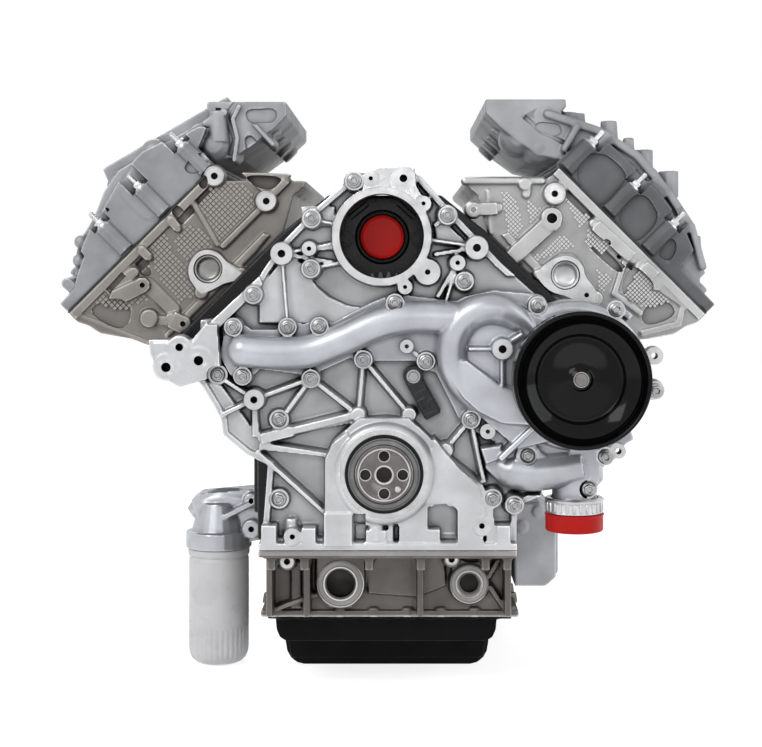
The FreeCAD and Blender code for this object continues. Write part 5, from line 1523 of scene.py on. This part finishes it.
ROCKER_DETAILS = {
    Side.RIGHT: RockerDetail(
        front=97.0,
        wall=((214, 377), (228.7, 391.5), (241, 395.6), (270, 397.7), (283.6, 394.6), (316.8, 366.6),
              (344.8, 325.2), (359.3, 308.6), (369.6, 296.2), (372.7, 277.5), (366, 248), (397, 203),
              (391, 195)),
        cells=(((247, 385), (262, 391), (280, 388), (306, 362), (296, 346), (274, 322), (262, 324),
                (234, 358)),
               ((306, 334), (322, 340), (334, 330), (346, 306), (318, 276), (306, 282), (286, 308)),
               ((358, 288), (368, 272), (356, 250), (336, 262))),
        grooves=((176, 121, 437), (186, 119, 428), (196, 119, 418), (210, 119, 412), (228, 121, 403)),
        hollows=((107.0, ((226, 436), (190, 438), (178, 424), (196, 408), (214, 404), (234, 412))),
                 (117.0, ((304, 384), (314, 379), (336, 352), (330, 345), (312, 366))),
                 (92.0, ((262, 399), (276, 399), (276, 412), (262, 412)))),
        uprights=((247, 445, 10, 150), (289, 431, 9.5, 150), (310, 412, 7, 132), (333, 396, 10.5, 150),
                  (360, 369, 11.5, 150), (359, 343, 8, 128), (391, 287, 10, 124)),
        bars=(((205, 440), (268, 419), 10, 18), ((268, 419), (318, 387), 10, 18),
              ((318, 387), (358, 339), 10, 18), ((358, 339), (386, 297), 10, 16),
              ((386, 297), (400, 247), 9, 14), ((226, 395), (242, 424), 8, 14),
              ((276, 398), (279, 410), 12, 6), ((334, 348), (346, 340), 14, 6),
              ((366, 302), (376, 296), 14, 6)),
        swells=((170, 412, 24, 38), (196, 398, 20, 34))),
    Side.LEFT: RockerDetail(
        front=127.0,
        wall=((402, 200), (396, 214), (389.3, 240.1), (378.8, 267.5), (355.6, 324.3), (330.4, 368.4),
              (309.4, 392), (284.1, 405), (258.9, 412.6), (235.8, 425), (226, 424), (236, 400),
              (254, 374), (250, 360), (238, 352)),
        cells=(((254, 366), (256, 376), (240, 388), (224, 400), (214, 396), (226, 374), (240, 362)),),
        grooves=((188, 150, 462), (198, 149, 450), (202, 149, 438), (197, 149, 421), (194, 149, 409),
                 (199, 151, 389)),
        hollows=((138.0, ((186, 456), (134, 458), (130, 434), (148, 424), (170, 424), (186, 432))),
                 (139.0, ((146, 398), (168, 424), (186, 420), (188, 398), (174, 382))),
                 (118.0, ((332, 369), (313, 369), (311, 355), (324, 350))),
                 (118.0, ((362, 326), (346, 327), (343, 316), (354, 309)))),
        uprights=((214, 447, 11, 138),),
        bars=(((168, 430), (144, 404), 5, 19), ((187, 452), (195, 436), 5, 17),
              ((195, 436), (189, 412), 5, 17), ((189, 412), (193, 384), 5, 17),
              ((404, 226), (394, 218), 14, 4), ((228, 430), (206, 444), 9, 12),
              ((362, 300), (332, 270), 22, -1), ((326, 343), (300, 318), 22, -1)),
        swells=((219, 403, 22, 22), (236, 412, 20, 26), (388, 279, 9, 12), (390, 255, 9, 12),
                (300, 396, 18, 46), (344, 352, 18, 46)))}


@dataclass
class RockerCover(BankCasting):
    """Cast rocker cover with its plenum, stud columns and upright bosses."""

    length: float = 490.0
    columns: tuple[float, ...] = (-101, -26, 42)

    @property
    def detail(self) -> RockerDetail:
        """This bank's details."""
        return ROCKER_DETAILS[self.side]

    def stock(self) -> list[Form]:
        """Closed forms melted into the casting."""
        d, sign = self.detail, self.side.value
        parts = [node_copy("rocker_cover_" + self.side.word)]
        parts.append(slab("wall", self.across(d.wall), d.front + 0.2, d.front + 44, -6))
        for u in self.columns:
            parts.append(bank_stud(u, d.front + 10, 419, 463.5, (12.5, 10.5), self.side))
        for a, b, width, rise in d.bars:
            start, end = self.across((a, b))
            parts.append(rib(start, end, width, width + 8, d.front + rise, d.front + 70))
            parts += [boss(p[0], p[1], width / 2, d.front + rise, d.front + 60, 3) for p in (start, end)]
        for x, z, r, back in d.swells:
            ball = [(0, -r), (r * 0.5, -r * 0.86), (r * 0.86, -r * 0.5), (r, 0), (r, 40), (0, 40)]
            parts.append(lathe("swell", ball, (sign * x, d.front + back + r * 0.4, z), Axis.REARWARD, 32))
        for x, z, r, y in d.uprights:
            profile = [(0, z - 40), (r * 1.3, z - 40), (r, z - 6), (r, z - 0.6), (0, z - 0.6)]
            parts.append(peg(sign * x, y + r, profile))
        return parts + self.length_ribs()

    @property
    def skin(self) -> CastFinish:
        """Cast skin with painted light: darker on the bank that stands back in its own shade, and lighter
        further behind the front face.
        """
        front = self.detail.front
        if self.side is Side.LEFT:
            return replace(ROCKER_CAST, name="rocker_cast_left", relief=(front + 1, front + 6),
                           relief_shade=1.15)
        return replace(ROCKER_CAST, name="rocker_cast_right", colour=(0.15, 0.153, 0.16),
                       relief=(front + 4, front + 12), relief_shade=3.2)

    def length_ribs(self) -> list[Form]:
        """Cross ribs and bolt bosses down the cover's length, and webs under the plenum."""
        d = self.detail
        parts = []
        for i in range(9):
            y = d.front + 50 + 48 * i
            web = bank_outline([(-150, 426), (-120, 470), (-30, 500), (60, 478), (92, 450), (60, 440)],
                               self.side)
            parts.append(slab("web", web, y, y + 4.5, 0))
        for i in range(4):
            y = d.front + 60 + 114 * i
            parts.append(bank_stud(130, y, 424, 446, (12, 9), self.side))
            parts.append(bank_stud(-190, y + 20, 396, 440, (13, 15), self.side))
        return parts

    def tools(self) -> tuple[list[Form], list[Form]]:
        """Cast pockets and drilled holes."""
        d, sign = self.detail, self.side.value
        sinks = [slab("cell", self.across(rounded(cell)), d.front - 6, d.front + 3.6, -2)
                 for cell in d.cells]
        sinks += [slab("hollow", self.across(rounded(outline)), start, start + 16, -9) for start,
                  outline in d.hollows]
        path = [(sign * x, y, z) for x, y, z in d.grooves]
        sinks.append(sweep("groove", path, (3.4,) * len(path), 1.0, 16))
        sinks += [bank_stud(u, d.front + 4, 464.0, 520, (14.5, 14.5), self.side) for u in self.columns]
        holes = []
        for x, z, r, y in d.uprights:
            profile = [(0, z - 14), (r * 0.36, z - 14), (r * 0.36, z + 4), (0, z + 4)]
            holes.append(peg(sign * x, y + r, profile, 20))
        return sinks, holes

    def ports(self) -> list[Form]:
        """Inlet ports on the level face."""
        x, z = bank_point(-199, 450, self.side)
        return [block((x - 22, x + 22), (y - 27, y + 27), (z - 24, z + 20))
                for y in ((227, 455) if self.side is Side.RIGHT else (257, 485))]

    def studs(self) -> Form:
        """Studs with flanged nuts on the corner columns."""
        low, parts = 464.0, []
        for u in self.columns:
            for y in (self.detail.front + 4, self.detail.front + self.length - 4):
                parts += [bank_stud(u, y, low, low + 2.2, (10.3, 9.4), self.side),
                          soften(bank_stud(u, y, low + 1.8, low + 9, (8.4, 8.2), self.side, 6), 0.7, 1),
                          bank_stud(u, y, low + 8, low + 22.6, (3.4, 3.4), self.side, 18),
                          bank_stud(u, y, low + 22.2, low + 23.8, (3.4, 2.4), self.side, 18)]
                parts += [bank_stud(u, y, low + 10.6 + 1.5 * i, low + 11.4 + 1.5 * i, (3.9, 3.5),
                                    self.side, 18) for i in range(7)]
        obj = join("studs_" + self.side.word, parts)
        dress(obj, self.foundry.paint.get(ZINC_STEEL))
        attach(obj, "engine")
        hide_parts("rocker_cover_studs_" + self.side.word)
        return obj

    def build(self) -> list[Form]:
        """Cast the cover and set its studs."""
        paint = self.foundry.paint
        shop = Foundry(paint, 1.4, 8)
        obj = shop.cast("rocker_casting_" + self.side.word, self.stock())
        sinks, holes = self.tools()
        skin = paint.get(self.skin)
        # Holes and inlet ports take the near-black finish painted as their shadow.
        self.foundry.machine(obj, skin, [(sinks, skin), (holes + self.ports(), paint.get(HOLE_SHADOW))])
        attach(obj, "engine")
        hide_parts("rocker_cover_" + self.side.word)
        return [obj, self.studs()]


# ------------------------------------------------------------------ oil pans, filter and cooler
@dataclass
class UpperPan:
    """Cast upper pan with two round ports and ribs on its front wall."""

    foundry: Foundry
    wall: float = 100.0
    rail_bolts: tuple[float, ...] = (-136, -91, -44, 10, 57, 96, 143)

    def stock(self) -> list[Form]:
        """Closed forms melted into the casting."""
        w = self.wall
        parts = [node_copy("upper_oil_pan")]
        hang = [(-84.5, -100), (-25.5, -100), (-25.5, -146)]
        hang += [(-55 + 29.5 * math.cos(a), -146 + 29.5 * math.sin(a))
                 for a in np.linspace(0, -math.pi, 19)]
        parts += [slab("tab", hang, w - 15, w + 2, 2), boss(105, -147, 24, w - 12, w + 2, 3)]
        parts += [boss(-121, -118, 11, w - 20, w + 2, 2), boss(83, -116, 10, w - 15, w + 2, 2),
                  slab("bridge", [(84, -108), (128, -106), (128, -140), (84, -140)], w - 9, w + 2, 1),
                  slab("belly", [(-24, -112), (72, -112), (76, -150), (40, -164), (-20, -160)], w - 5,
                       w + 2, 3)]
        parts += [rib((-146, -182), (-84, -160), 5, 9, w - 13, w + 2),
                  rib((-121, -118), (-96, -124), 6, 9, w - 14, w + 2),
                  rib((-110, -126), (-110, -178), 12, 16, w - 8, w + 2),
                  rib((130, -150), (152, -182), 5, 9, w - 12, w + 2),
                  rib((128, -140), (150, -104), 5, 8, w - 12, w + 2)]
        parts += [rib((x, -102), (x, -118), 10, 14, 24, w + 2) for x in (-136, -96, -18, 44, 122, 148)]
        parts.append(block((-146, 156), (24, w + 2), (-104, -98)))
        parts += [peg(x, 26, [(0, -102), (9, -102), (10, -88.2), (0, -88.2)]) for x in self.rail_bolts]
        parts += [peg(x, w + 5, [(0, -189.6), (11, -189.6), (9, -178), (0, -178)])
                  for x in range(-140, 160, 42)]
        return parts + self.flank_stock()

    def ports(self) -> Form:
        """Turned lips about both round ports."""
        w = self.wall
        left = [(17.9, w - 14), (19.6, w - 16.4), (21.4, w - 16.6), (22, w - 15.6), (27.4, w - 15.6),
                (28, w - 16.6), (29.2, w - 16), (29.6, w - 14), (29.6, w), (17.9, w)]
        right = [(11.9, w - 7), (15.6, w - 12.8), (17, w - 13.4), (17.6, w - 12.6), (22, w - 12.6),
                 (22.8, w - 13.4), (24.2, w - 12), (24.2, w), (11.9, w)]
        obj = join("pan_port_lips", [lathe("lip", left, (-55, 0, -146)),
                                     lathe("lip", right, (105, 0, -147))])
        dress(obj, self.foundry.paint.get(PAN_LIP))
        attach(obj, "engine")
        return obj

    def flank_stock(self) -> list[Form]:
        """Ribs and lugs down both long sides."""
        parts = []
        for i in range(9):
            y = 150 + 58 * i
            parts += [block((-151, -144), (y, y + 5), (-184, -98)),
                      block((154, 159), (y, y + 5), (-184, -98))]
            parts += [peg(x, y + 30, [(0, -189.6), (10, -189.6), (8, -176), (0, -176)], 24)
                      for x in (-150, 162)]
        return parts

    def build(self) -> Form:
        """Cast and bore the pan."""
        w, paint = self.wall, self.foundry.paint
        obj = self.foundry.cast("upper_pan_casting", self.stock())
        skin = paint.get(PAN_CAST)
        milled = [lathe("seat", [(0, 60), (20.8, 60), (20.8, w - 15), (18, w - 12), (0, w - 12)],
                        (-55, 0, -146)),
                  lathe("seat", [(0, 60), (16, 60), (16, w - 12), (11.9, w - 6), (0, w - 6)],
                        (105, 0, -147)),
                  lathe("seat", [(0, 60), (8.4, 60), (8.4, w - 19.2), (0, w - 19.2)], (-121, 0, -118)),
                  lathe("seat", [(0, 60), (7.6, 60), (7.6, w - 14.2), (0, w - 14.2)], (83, 0, -116))]
        bores = [boss(-55, -146, 17.9, 50, w + 4), boss(105, -147, 11.8, 50, w + 4),
                 boss(-121, -118, 4, 50, w - 6), boss(83, -116, 4, 50, w - 4)]
        sinks = [slab("slot", rounded([(95, -110), (124, -110), (124, -121), (95, -121)], 1), 80, w + 4)]
        # Bores take the near-black finish painted as their shadow.
        self.foundry.machine(obj, skin, [(sinks, skin), (milled, paint.get(MILLED)),
                                         (bores, paint.get(HOLE_SHADOW))])
        self.ports()
        obj.data.materials.append(paint.get(PAN_LIP))
        edge = len(obj.data.materials) - 1
        for face in obj.data.polygons:
            if face.center.z < -187.3 * MM or (face.center.z > -99 * MM and face.center.y < 34 * MM):
                face.material_index = edge
        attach(obj, "engine")
        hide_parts("upper_oil_pan")
        return obj


@dataclass
class LowerPan:
    """Pressed sump with a scalloped flange and swaged ribs."""

    foundry: Foundry
    setting: SettingOut
    top: float = -190.0
    bottom: float = -288.0

    def stock(self) -> list[Form]:
        """Closed forms melted into the pressing."""
        t, b = self.top, self.bottom
        parts = [block((-147, 159), (106, 634), (t - 4.5, t - 0.2))]
        deep = [(-139, t - 3), (142, t - 3), (138, b + 30), (136, b + 18), (131, b + 9), (123, b + 2.6),
                (113, b), (-110, b), (-120, b + 2.6), (-128, b + 9), (-133, b + 18), (-135, b + 30)]
        parts.append(slab("deep", deep, 254, 600, 0))
        parts.append(slab("shelf", [(-139, t - 3), (142, t - 3), (140, t - 22), (136, t - 31),
                                    (128, t - 36), (-125, t - 36), (-133, t - 31), (-137, t - 22)],
                          122, 256, 0))
        parts.append(slab("slope", [(-136, t - 30), (139, t - 30), (130, b + 10), (-127, b + 10)], 250,
                          260, 0))
        for x in range(-126, 154, 26):
            parts += [self.scallop(x, y, 12.5, 28) for y in (112, 627)]
        for y in range(130, 630, 28):
            parts += [self.scallop(x, y, 11.8, 24) for x in (-141, 153)]
        return parts + [block((x - 9, x + 9), (251, 604), (b + 18, t - 40))
                        for x in (-96, -48, 0, 48, 96)]

    def scallop(self, x: float, y: float, radius: float, segments: int) -> Form:
        """Round lobe of the flange about one bolt."""
        low, high = self.top - 4.5, self.top - 0.2
        return peg(x, y, [(0, low), (radius, low), (radius, high), (0, high)], segments)

    def bolts(self) -> Form:
        """Flange bolts under the pan rail."""
        seats = [(x, 110) for x in range(-126, 150, 52)]
        seats += [(x, y) for y in range(158, 620, 56) for x in (-146, 158)]
        spots = [Spot((x, y, self.top - 4.4), (math.radians(-90), 0, 0), (0.62, 0.62, 0.62)) for x,
                 y in seats]
        obj = self.setting.plant("pan_bolts", flange_bolt(), spots, self.foundry.paint.get(ZINC_STEEL))
        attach(obj, "engine")
        return obj

    def build(self) -> list[Form]:
        """Press the sump and set its bolts."""
        obj = self.foundry.cast("lower_pan_pressing", self.stock())
        dress(obj, self.foundry.paint.get(PAN_BLACK), 60)
        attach(obj, "engine")
        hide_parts("lower_oil_pan")
        return [obj, self.bolts()]


@dataclass
class OilFilter:
    """Spin-on canister with a fluted grip, and the casting that carries it."""

    foundry: Foundry
    place: Point = (-226.0, 265.0)
    radius: float = 41.5
    top: float = -131.0
    length: float = 155.0
    flutes: int = 34

    def can(self) -> Form:
        """Drawn canister: rolled seam above, shallow flutes round its lower end and a domed bottom."""
        r, top = self.radius, self.top
        low = top - self.length
        profile = [(0, top), (r - 3, top), (r - 0.6, top - 0.8), (r, top - 2.6), (r, top - 8),
                   (r - 0.5, top - 9.6), (r - 2.2, top - 10.6), (r - 2.4, top - 12.4),
                   (r - 1.2, top - 14), (r - 1.0, top - 16), (r - 1.0, low + 52), (r - 1.0, low + 50),
                   (r - 1.2, low + 48), (r - 1.2, low + 20), (r - 2.4, low + 13), (r - 5, low + 7),
                   (r - 9, low + 3), (r - 15, low + 0.6), (r - 20, low), (0, low)]
        obj = lathe("filter_can", profile, (*self.place, 0), Axis.UPWARD, self.flutes * 6)
        for vert in obj.data.vertices:
            x, y, z = vert.co / MM
            if low + 12 < z < low + 49:
                angle = math.atan2(y - self.place[1], x - self.place[0])
                dip = 1 - 0.022 * max(0.0, math.cos(self.flutes * angle))
                vert.co.x = (self.place[0] + (x - self.place[0]) * dip) * MM
                vert.co.y = (self.place[1] + (y - self.place[1]) * dip) * MM
        dress(obj, self.foundry.paint.get(FILTER_WHITE), 45)
        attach(obj, "engine")
        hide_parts("oil_filter")
        return obj

    def adapter(self) -> Form:
        """Casting with a conical head, an arm to the block and a pipe beside it."""
        x, y = self.place
        top = self.top
        cone = [(0, top + 0.2), (43.6, top + 0.2), (44.2, top + 3), (43.6, top + 8), (40.5, top + 10),
                (38, top + 17), (33, top + 19), (30, top + 26), (22, top + 29), (18, top + 46),
                (15, top + 60), (0, top + 60)]
        parts = [node_copy("oil_filter_adapter"), peg(x, y, cone, 72),
                 sweep("pipe", ((-262, y - 2, -86), (-246, y - 4, -74), (-222, y - 4, -68),
                                (-190, y - 4, -70), (-164, y - 4, -78)), (10, 15, 17, 17, 16), 0.9, 32)]
        parts += [rib((-240, -100), (-170, -64), 6, 12, y - 30, y),
                  rib((-250, -110), (-200, -122), 6, 12, y - 26, y), boss(-180, -104, 12, y - 26, y, 2),
                  boss(-180, -66, 10, y - 24, y, 2)]
        obj = self.foundry.cast("filter_head_casting", parts)
        paint = self.foundry.paint
        holes = [boss(-180, -104, 4, y - 40, y - 8), boss(-180, -66, 3.4, y - 40, y - 8)]
        # Holes take the near-black finish painted as their shadow.
        self.foundry.machine(obj, paint.get(FILTER_HEAD_CAST), [(holes, paint.get(HOLE_SHADOW))])
        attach(obj, "engine")
        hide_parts("oil_filter_adapter")
        return obj

    def build(self) -> list[Form]:
        """Both pieces."""
        return [self.can(), self.adapter()]


@dataclass
class PlainCasting:
    """Frame node recast with filleted edges and extra stock."""

    foundry: Foundry
    node: str
    finish: CastFinish | CoatFinish
    slot: str
    voxel: float

    def build(self, extra: Sequence[Form]) -> Form:
        """Recast the node."""
        shop = Foundry(self.foundry.paint, self.voxel, 3)
        obj = shop.cast(self.node + "_casting", [node_copy(self.node), *extra])
        dress(obj, self.foundry.paint.get(self.finish), 60)
        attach(obj, "engine")
        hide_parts(self.node)
        return obj


def cooler_stock() -> list[Form]:
    """Bolts' bosses on the oil cooler's upper edge."""
    return [boss(x, z, 7, 238, 250, 1.5) for x, z in ((204, -80), (182, -100))]


def rear_stock() -> list[Form]:
    """Ribs and bosses on the rear plate."""
    parts = []
    for angle in range(20, 361, 40):
        a = math.radians(angle)
        start = (62 * math.cos(a), 62 * math.sin(a))
        reach = 150 if 180 > angle else 86
        parts.append(rib(start, (reach * math.cos(a), reach * math.sin(a)), 9, 6, 655, 661.6))
    ring = [(60, 640), (70, 640), (70, 661.6), (60, 661.6)]
    return parts + [lathe("seat_ring", ring, (0, 0, 0))]


# ------------------------------------------------------------------ nose, openings and fasteners
@dataclass
class CrankNose:
    """Turned face on the crankshaft's nose and the seal round it."""

    paint: Paintshop
    foundry: Foundry
    circle: float = 22.25
    hole: float = 6.3

    def flange(self) -> Form:
        """Turned flange face with four deep holes, a countersunk centre bore and fine steps."""
        profile = [(0, -0.2), (15.2, -0.2), (15.8, -0.5), (29.4, -0.5), (30, 0.1), (31.6, 0.1),
                   (32.1, -0.5), (33.3, -0.5), (33.9, 0.1), (33.9, 7.9), (0, 7.9)]
        obj = lathe("nose_face", profile, (0, 0, 0), Axis.REARWARD, 160)
        c = self.circle
        spots = ((0, c), (0, -c), (c, 0), (-c, 0))
        holes = [boss(x, z, self.hole, -3, 7.2, 0, 40) for x, z in spots]
        holes.append(boss(0, 0, 9.4, -3, 7.2, 0, 48))
        sinks = [lathe("sink", [(0, -1), (self.hole + 1.7, -1), (self.hole, 0.9), (0, 0.9)], (x, 0, z),
                       Axis.REARWARD, 40) for x, z in spots]
        sinks.append(lathe("sink", [(0, -1), (12.6, -1), (9.4, 1.6), (0, 1.6)], (0, 0, 0), Axis.REARWARD,
                           48))
        # Holes take the near-black finish painted as their shadow.
        cuts = [(sinks, self.paint.get(MILLED)), (holes, self.paint.get(HOLE_SHADOW))]
        self.foundry.machine(obj, self.paint.get(NOSE_STEEL), cuts)
        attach(obj, "crank")
        return obj

    def dowel(self) -> Form:
        """Hardened dowel with a rounded end."""
        obj = lathe("dowel_pin", [(0, -3), (2.5, -3), (3.5, -2.2), (3.6, -1.6), (3.6, -0.1), (0, -0.1)],
                    (16.3, 0, -16.9), Axis.REARWARD, 32)
        dress(obj, self.paint.get(MILLED))
        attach(obj, "crank")
        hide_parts("nose_dowel")
        return obj

    def seals(self) -> list[Form]:
        """Front and rear lip seals, and the front one's steel dust ring."""
        front = [(47, 5.6), (46.4, 4.8), (44.4, 4.6), (43.2, 5.4), (42.8, 7), (42.2, 9), (42.2, 20),
                 (47, 20)]
        rear = [(49.3, 648.2), (57, 648.2), (58, 649), (58, 660), (54, 660), (53, 657), (49.3, 656)]
        rubber = join("seal_rubber", [lathe("front_seal", front, (0, 0, 0), Axis.REARWARD, 128),
                                      lathe("rear_seal", rear, (0, 0, 0), Axis.REARWARD, 128)])
        dress(rubber, self.paint.get(SEAL_BLACK), 45)
        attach(rubber, "engine")
        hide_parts("crank_seals")
        ring = [(34.5, 4.7), (34.5, 3.4), (36, 2.7), (40.6, 3.4), (41.6, 4.6), (43, 4.8)]
        steel = lathe("seal_dust_ring", ring, (0, 0, 0), Axis.REARWARD, 128)
        dress(steel, self.paint.get(SEAL_GREY), 30)
        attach(steel, "engine")
        return [rubber, steel]

    def build(self) -> list[Form]:
        """Flange, dowel and seals."""
        return [self.flange(), self.dowel()] + self.seals()


@dataclass
class PumpOpening:
    """Red plug in the block behind the pump ring, and the bolts beside it."""

    paint: Paintshop
    centre: Point = (-3.0, 284.0)
    face: float = 85.0

    def plug(self) -> Form:
        """Domed red plug with a rolled lip."""
        x, z = self.centre
        f = self.face
        profile = [(0, f - 6.2), (12, f - 6), (20, f - 5.2), (23.4, f - 4.8), (24.6, f - 6), (26, f - 7),
                   (26.9, f - 6), (26.9, f + 11), (0, f + 11)]
        obj = lathe("plug_moulding", profile, (x, 0, z), Axis.REARWARD, 96)
        dress(obj, self.paint.get(RED_PLUG), 40)
        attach(obj, "pump_bore_plug")
        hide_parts("pump_bore_plug")
        return obj

    def collar(self) -> Form:
        """Black collar round the plug's seat and heads of the block's bolts."""
        x, z = self.centre
        f = self.face
        parts = [lathe("collar", [(27.2, f - 4), (28.6, f - 5), (31.5, f - 4.4), (34, f - 0.2),
                                  (34, f + 1), (27.2, f + 1)], (x, 0, z), Axis.REARWARD, 96)]
        for bx in (x - 46, x + 46):
            parts += [boss(bx, z - 2, 9.6, f - 3.4, f + 0.5, 0.6),
                      boss(bx, z - 2, 6.4, f - 9, f - 3, 0.2, 6)]
        parts += [rib((x - 40, z + 24), (x - 18, z + 42), 4, 8, f - 5, f + 0.5),
                  rib((x + 20, z + 42), (x + 40, z + 24), 4, 8, f - 5, f + 0.5)]
        obj = join("block_front_details", parts)
        dress(obj, self.paint.get(BLOCK_BLACK), 35)
        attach(obj, "engine")
        return obj

    def build(self) -> list[Form]:
        """Plug and collar."""
        return [self.plug(), self.collar()]


@dataclass
class CrankSensor:
    """Moulded position sensor with ribs, a connector and its bolt."""

    foundry: Foundry
    eye: Point = (35.0, 116.0)

    def build(self) -> list[Form]:
        """Mould the sensor and set its bolt."""
        x, z = self.eye
        parts = [rib((36, 110), (59, 68), 19, 22, 16.2, 40), boss(x, z, 11.8, 17, 40, 0.3),
                 rib((31, 104), (44, 111), 5, 5, 15.6, 30), rib((37, 92), (52, 100), 5, 5, 15.6, 30),
                 rib((44, 80), (59, 88), 5, 5, 15.6, 30), rib((52, 68), (66, 75), 5, 5, 15.6, 30),
                 rib((44, 88), (50, 77), 11, 13, 15.4, 24)]
        shop = Foundry(self.foundry.paint, 0.7, 2)
        obj = shop.cast("sensor_moulding", parts)
        paint = self.foundry.paint
        sinks = [rib((44.5, 87), (49.5, 78), 5, 5, 14, 19)]
        shop.machine(obj, paint.get(SENSOR_BLACK), [(sinks, paint.get(SENSOR_BLACK))])
        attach(obj, "engine")
        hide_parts("crank_sensor")
        head = join("sensor_bolt", [boss(x, z, 8.2, 14.8, 17, 0.6),
                                    soften(boss(x, z, 6.4, 10, 15, 0.1, 6), 0.5, 1)])
        dress(head, paint.get(BOLT_STEEL))
        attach(head, "engine")
        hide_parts("crank_sensor_bolt")
        return [obj, head]


def plant_bolts(setting: SettingOut, paint: Paintshop, name: str, node: str,
                seats: Sequence[Point3]) -> Form:
    """Flanged bolts in place of a frame node's plain ones.

    Args:
        setting: The setting-out tree.
        paint: Paint shop.
        name: Name of the piece.
        node: Frame node it stands in for.
        seats: X, Z and seat depth of each bolt.

    Returns:
        The bolts.
    """
    spots = [Spot((x, seat, z), (0, math.radians(37 * i % 60), 0)) for i,
             (x, z, seat) in enumerate(seats)]
    obj = setting.plant(name, flange_bolt(), spots, paint.get(BOLT_STEEL), 1.0, 32)
    shanks = [boss(x, z, 4, seat - 4, 40, 0, 12) for x, z, seat in seats]
    whole = join(name, [obj] + shanks)
    dress(whole, paint.get(BOLT_STEEL), 32)
    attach(whole, "engine")
    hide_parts(node)
    return whole


def main() -> None:
    """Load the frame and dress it."""
    logging.basicConfig(level=logging.INFO, format="%(message)s")
    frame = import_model()
    Studio().build()
    paint = Paintshop()
    for name, node in frame["nodes"].items():
        finish = NODE_FINISH.get(name, TURNED_STEEL if name.startswith("piston") else COVER_CAST)
        dress(node, paint.get(finish))
    foundry = Foundry(paint)
    setting = SettingOut()
    cover, coolant = TimingCover(foundry), CoolantCasting(foundry)
    pieces = [cover.build(), coolant.build()]
    for side in Side:
        pieces += CylinderHead(foundry, side, setting).build() + RockerCover(foundry, side).build()
    pieces += [UpperPan(foundry).build()] + LowerPan(foundry, setting).build() + OilFilter(foundry).build()
    for node, finish, slot, voxel, extra in (
            ("oil_cooler_housing", COOLER_CAST, "cooler_aluminium", 1.8, cooler_stock()),
            ("rear_plate", PAN_CAST, "pan_aluminium", 1.8, rear_stock()),
            ("valley_cover", PAN_CAST, "pan_aluminium", 1.8, []),
            ("cylinder_block", BLOCK_BLACK, "black_iron", 2.6, [])):
        pieces.append(PlainCasting(foundry, node, finish, slot, voxel).build(extra))
    pieces += NeckDressing(paint, setting).build() + PumpDrive(paint).build()
    pieces += CrankNose(paint, foundry).build() + PumpOpening(paint).build() + CrankSensor(foundry).build()
    seats = [(x, z, cover.boss_face) for x, z in cover.bolts] + [(x, z, 32.0) for x, z in cover.recessed]
    pieces.append(plant_bolts(setting, paint, "cover_bolts", "front_cover_bolts", seats))
    seats = [(x, z, coolant.bolt_face) for x, z in (*coolant.bolts, coolant.sunken_bolt)]
    pieces.append(plant_bolts(setting, paint, "coolant_bolts", "coolant_housing_bolts", seats))
    for piece in pieces:
        LOG.info("%s: %d faces", piece.name, len(piece.data.polygons))


if __name__ == "__main__":
    main()
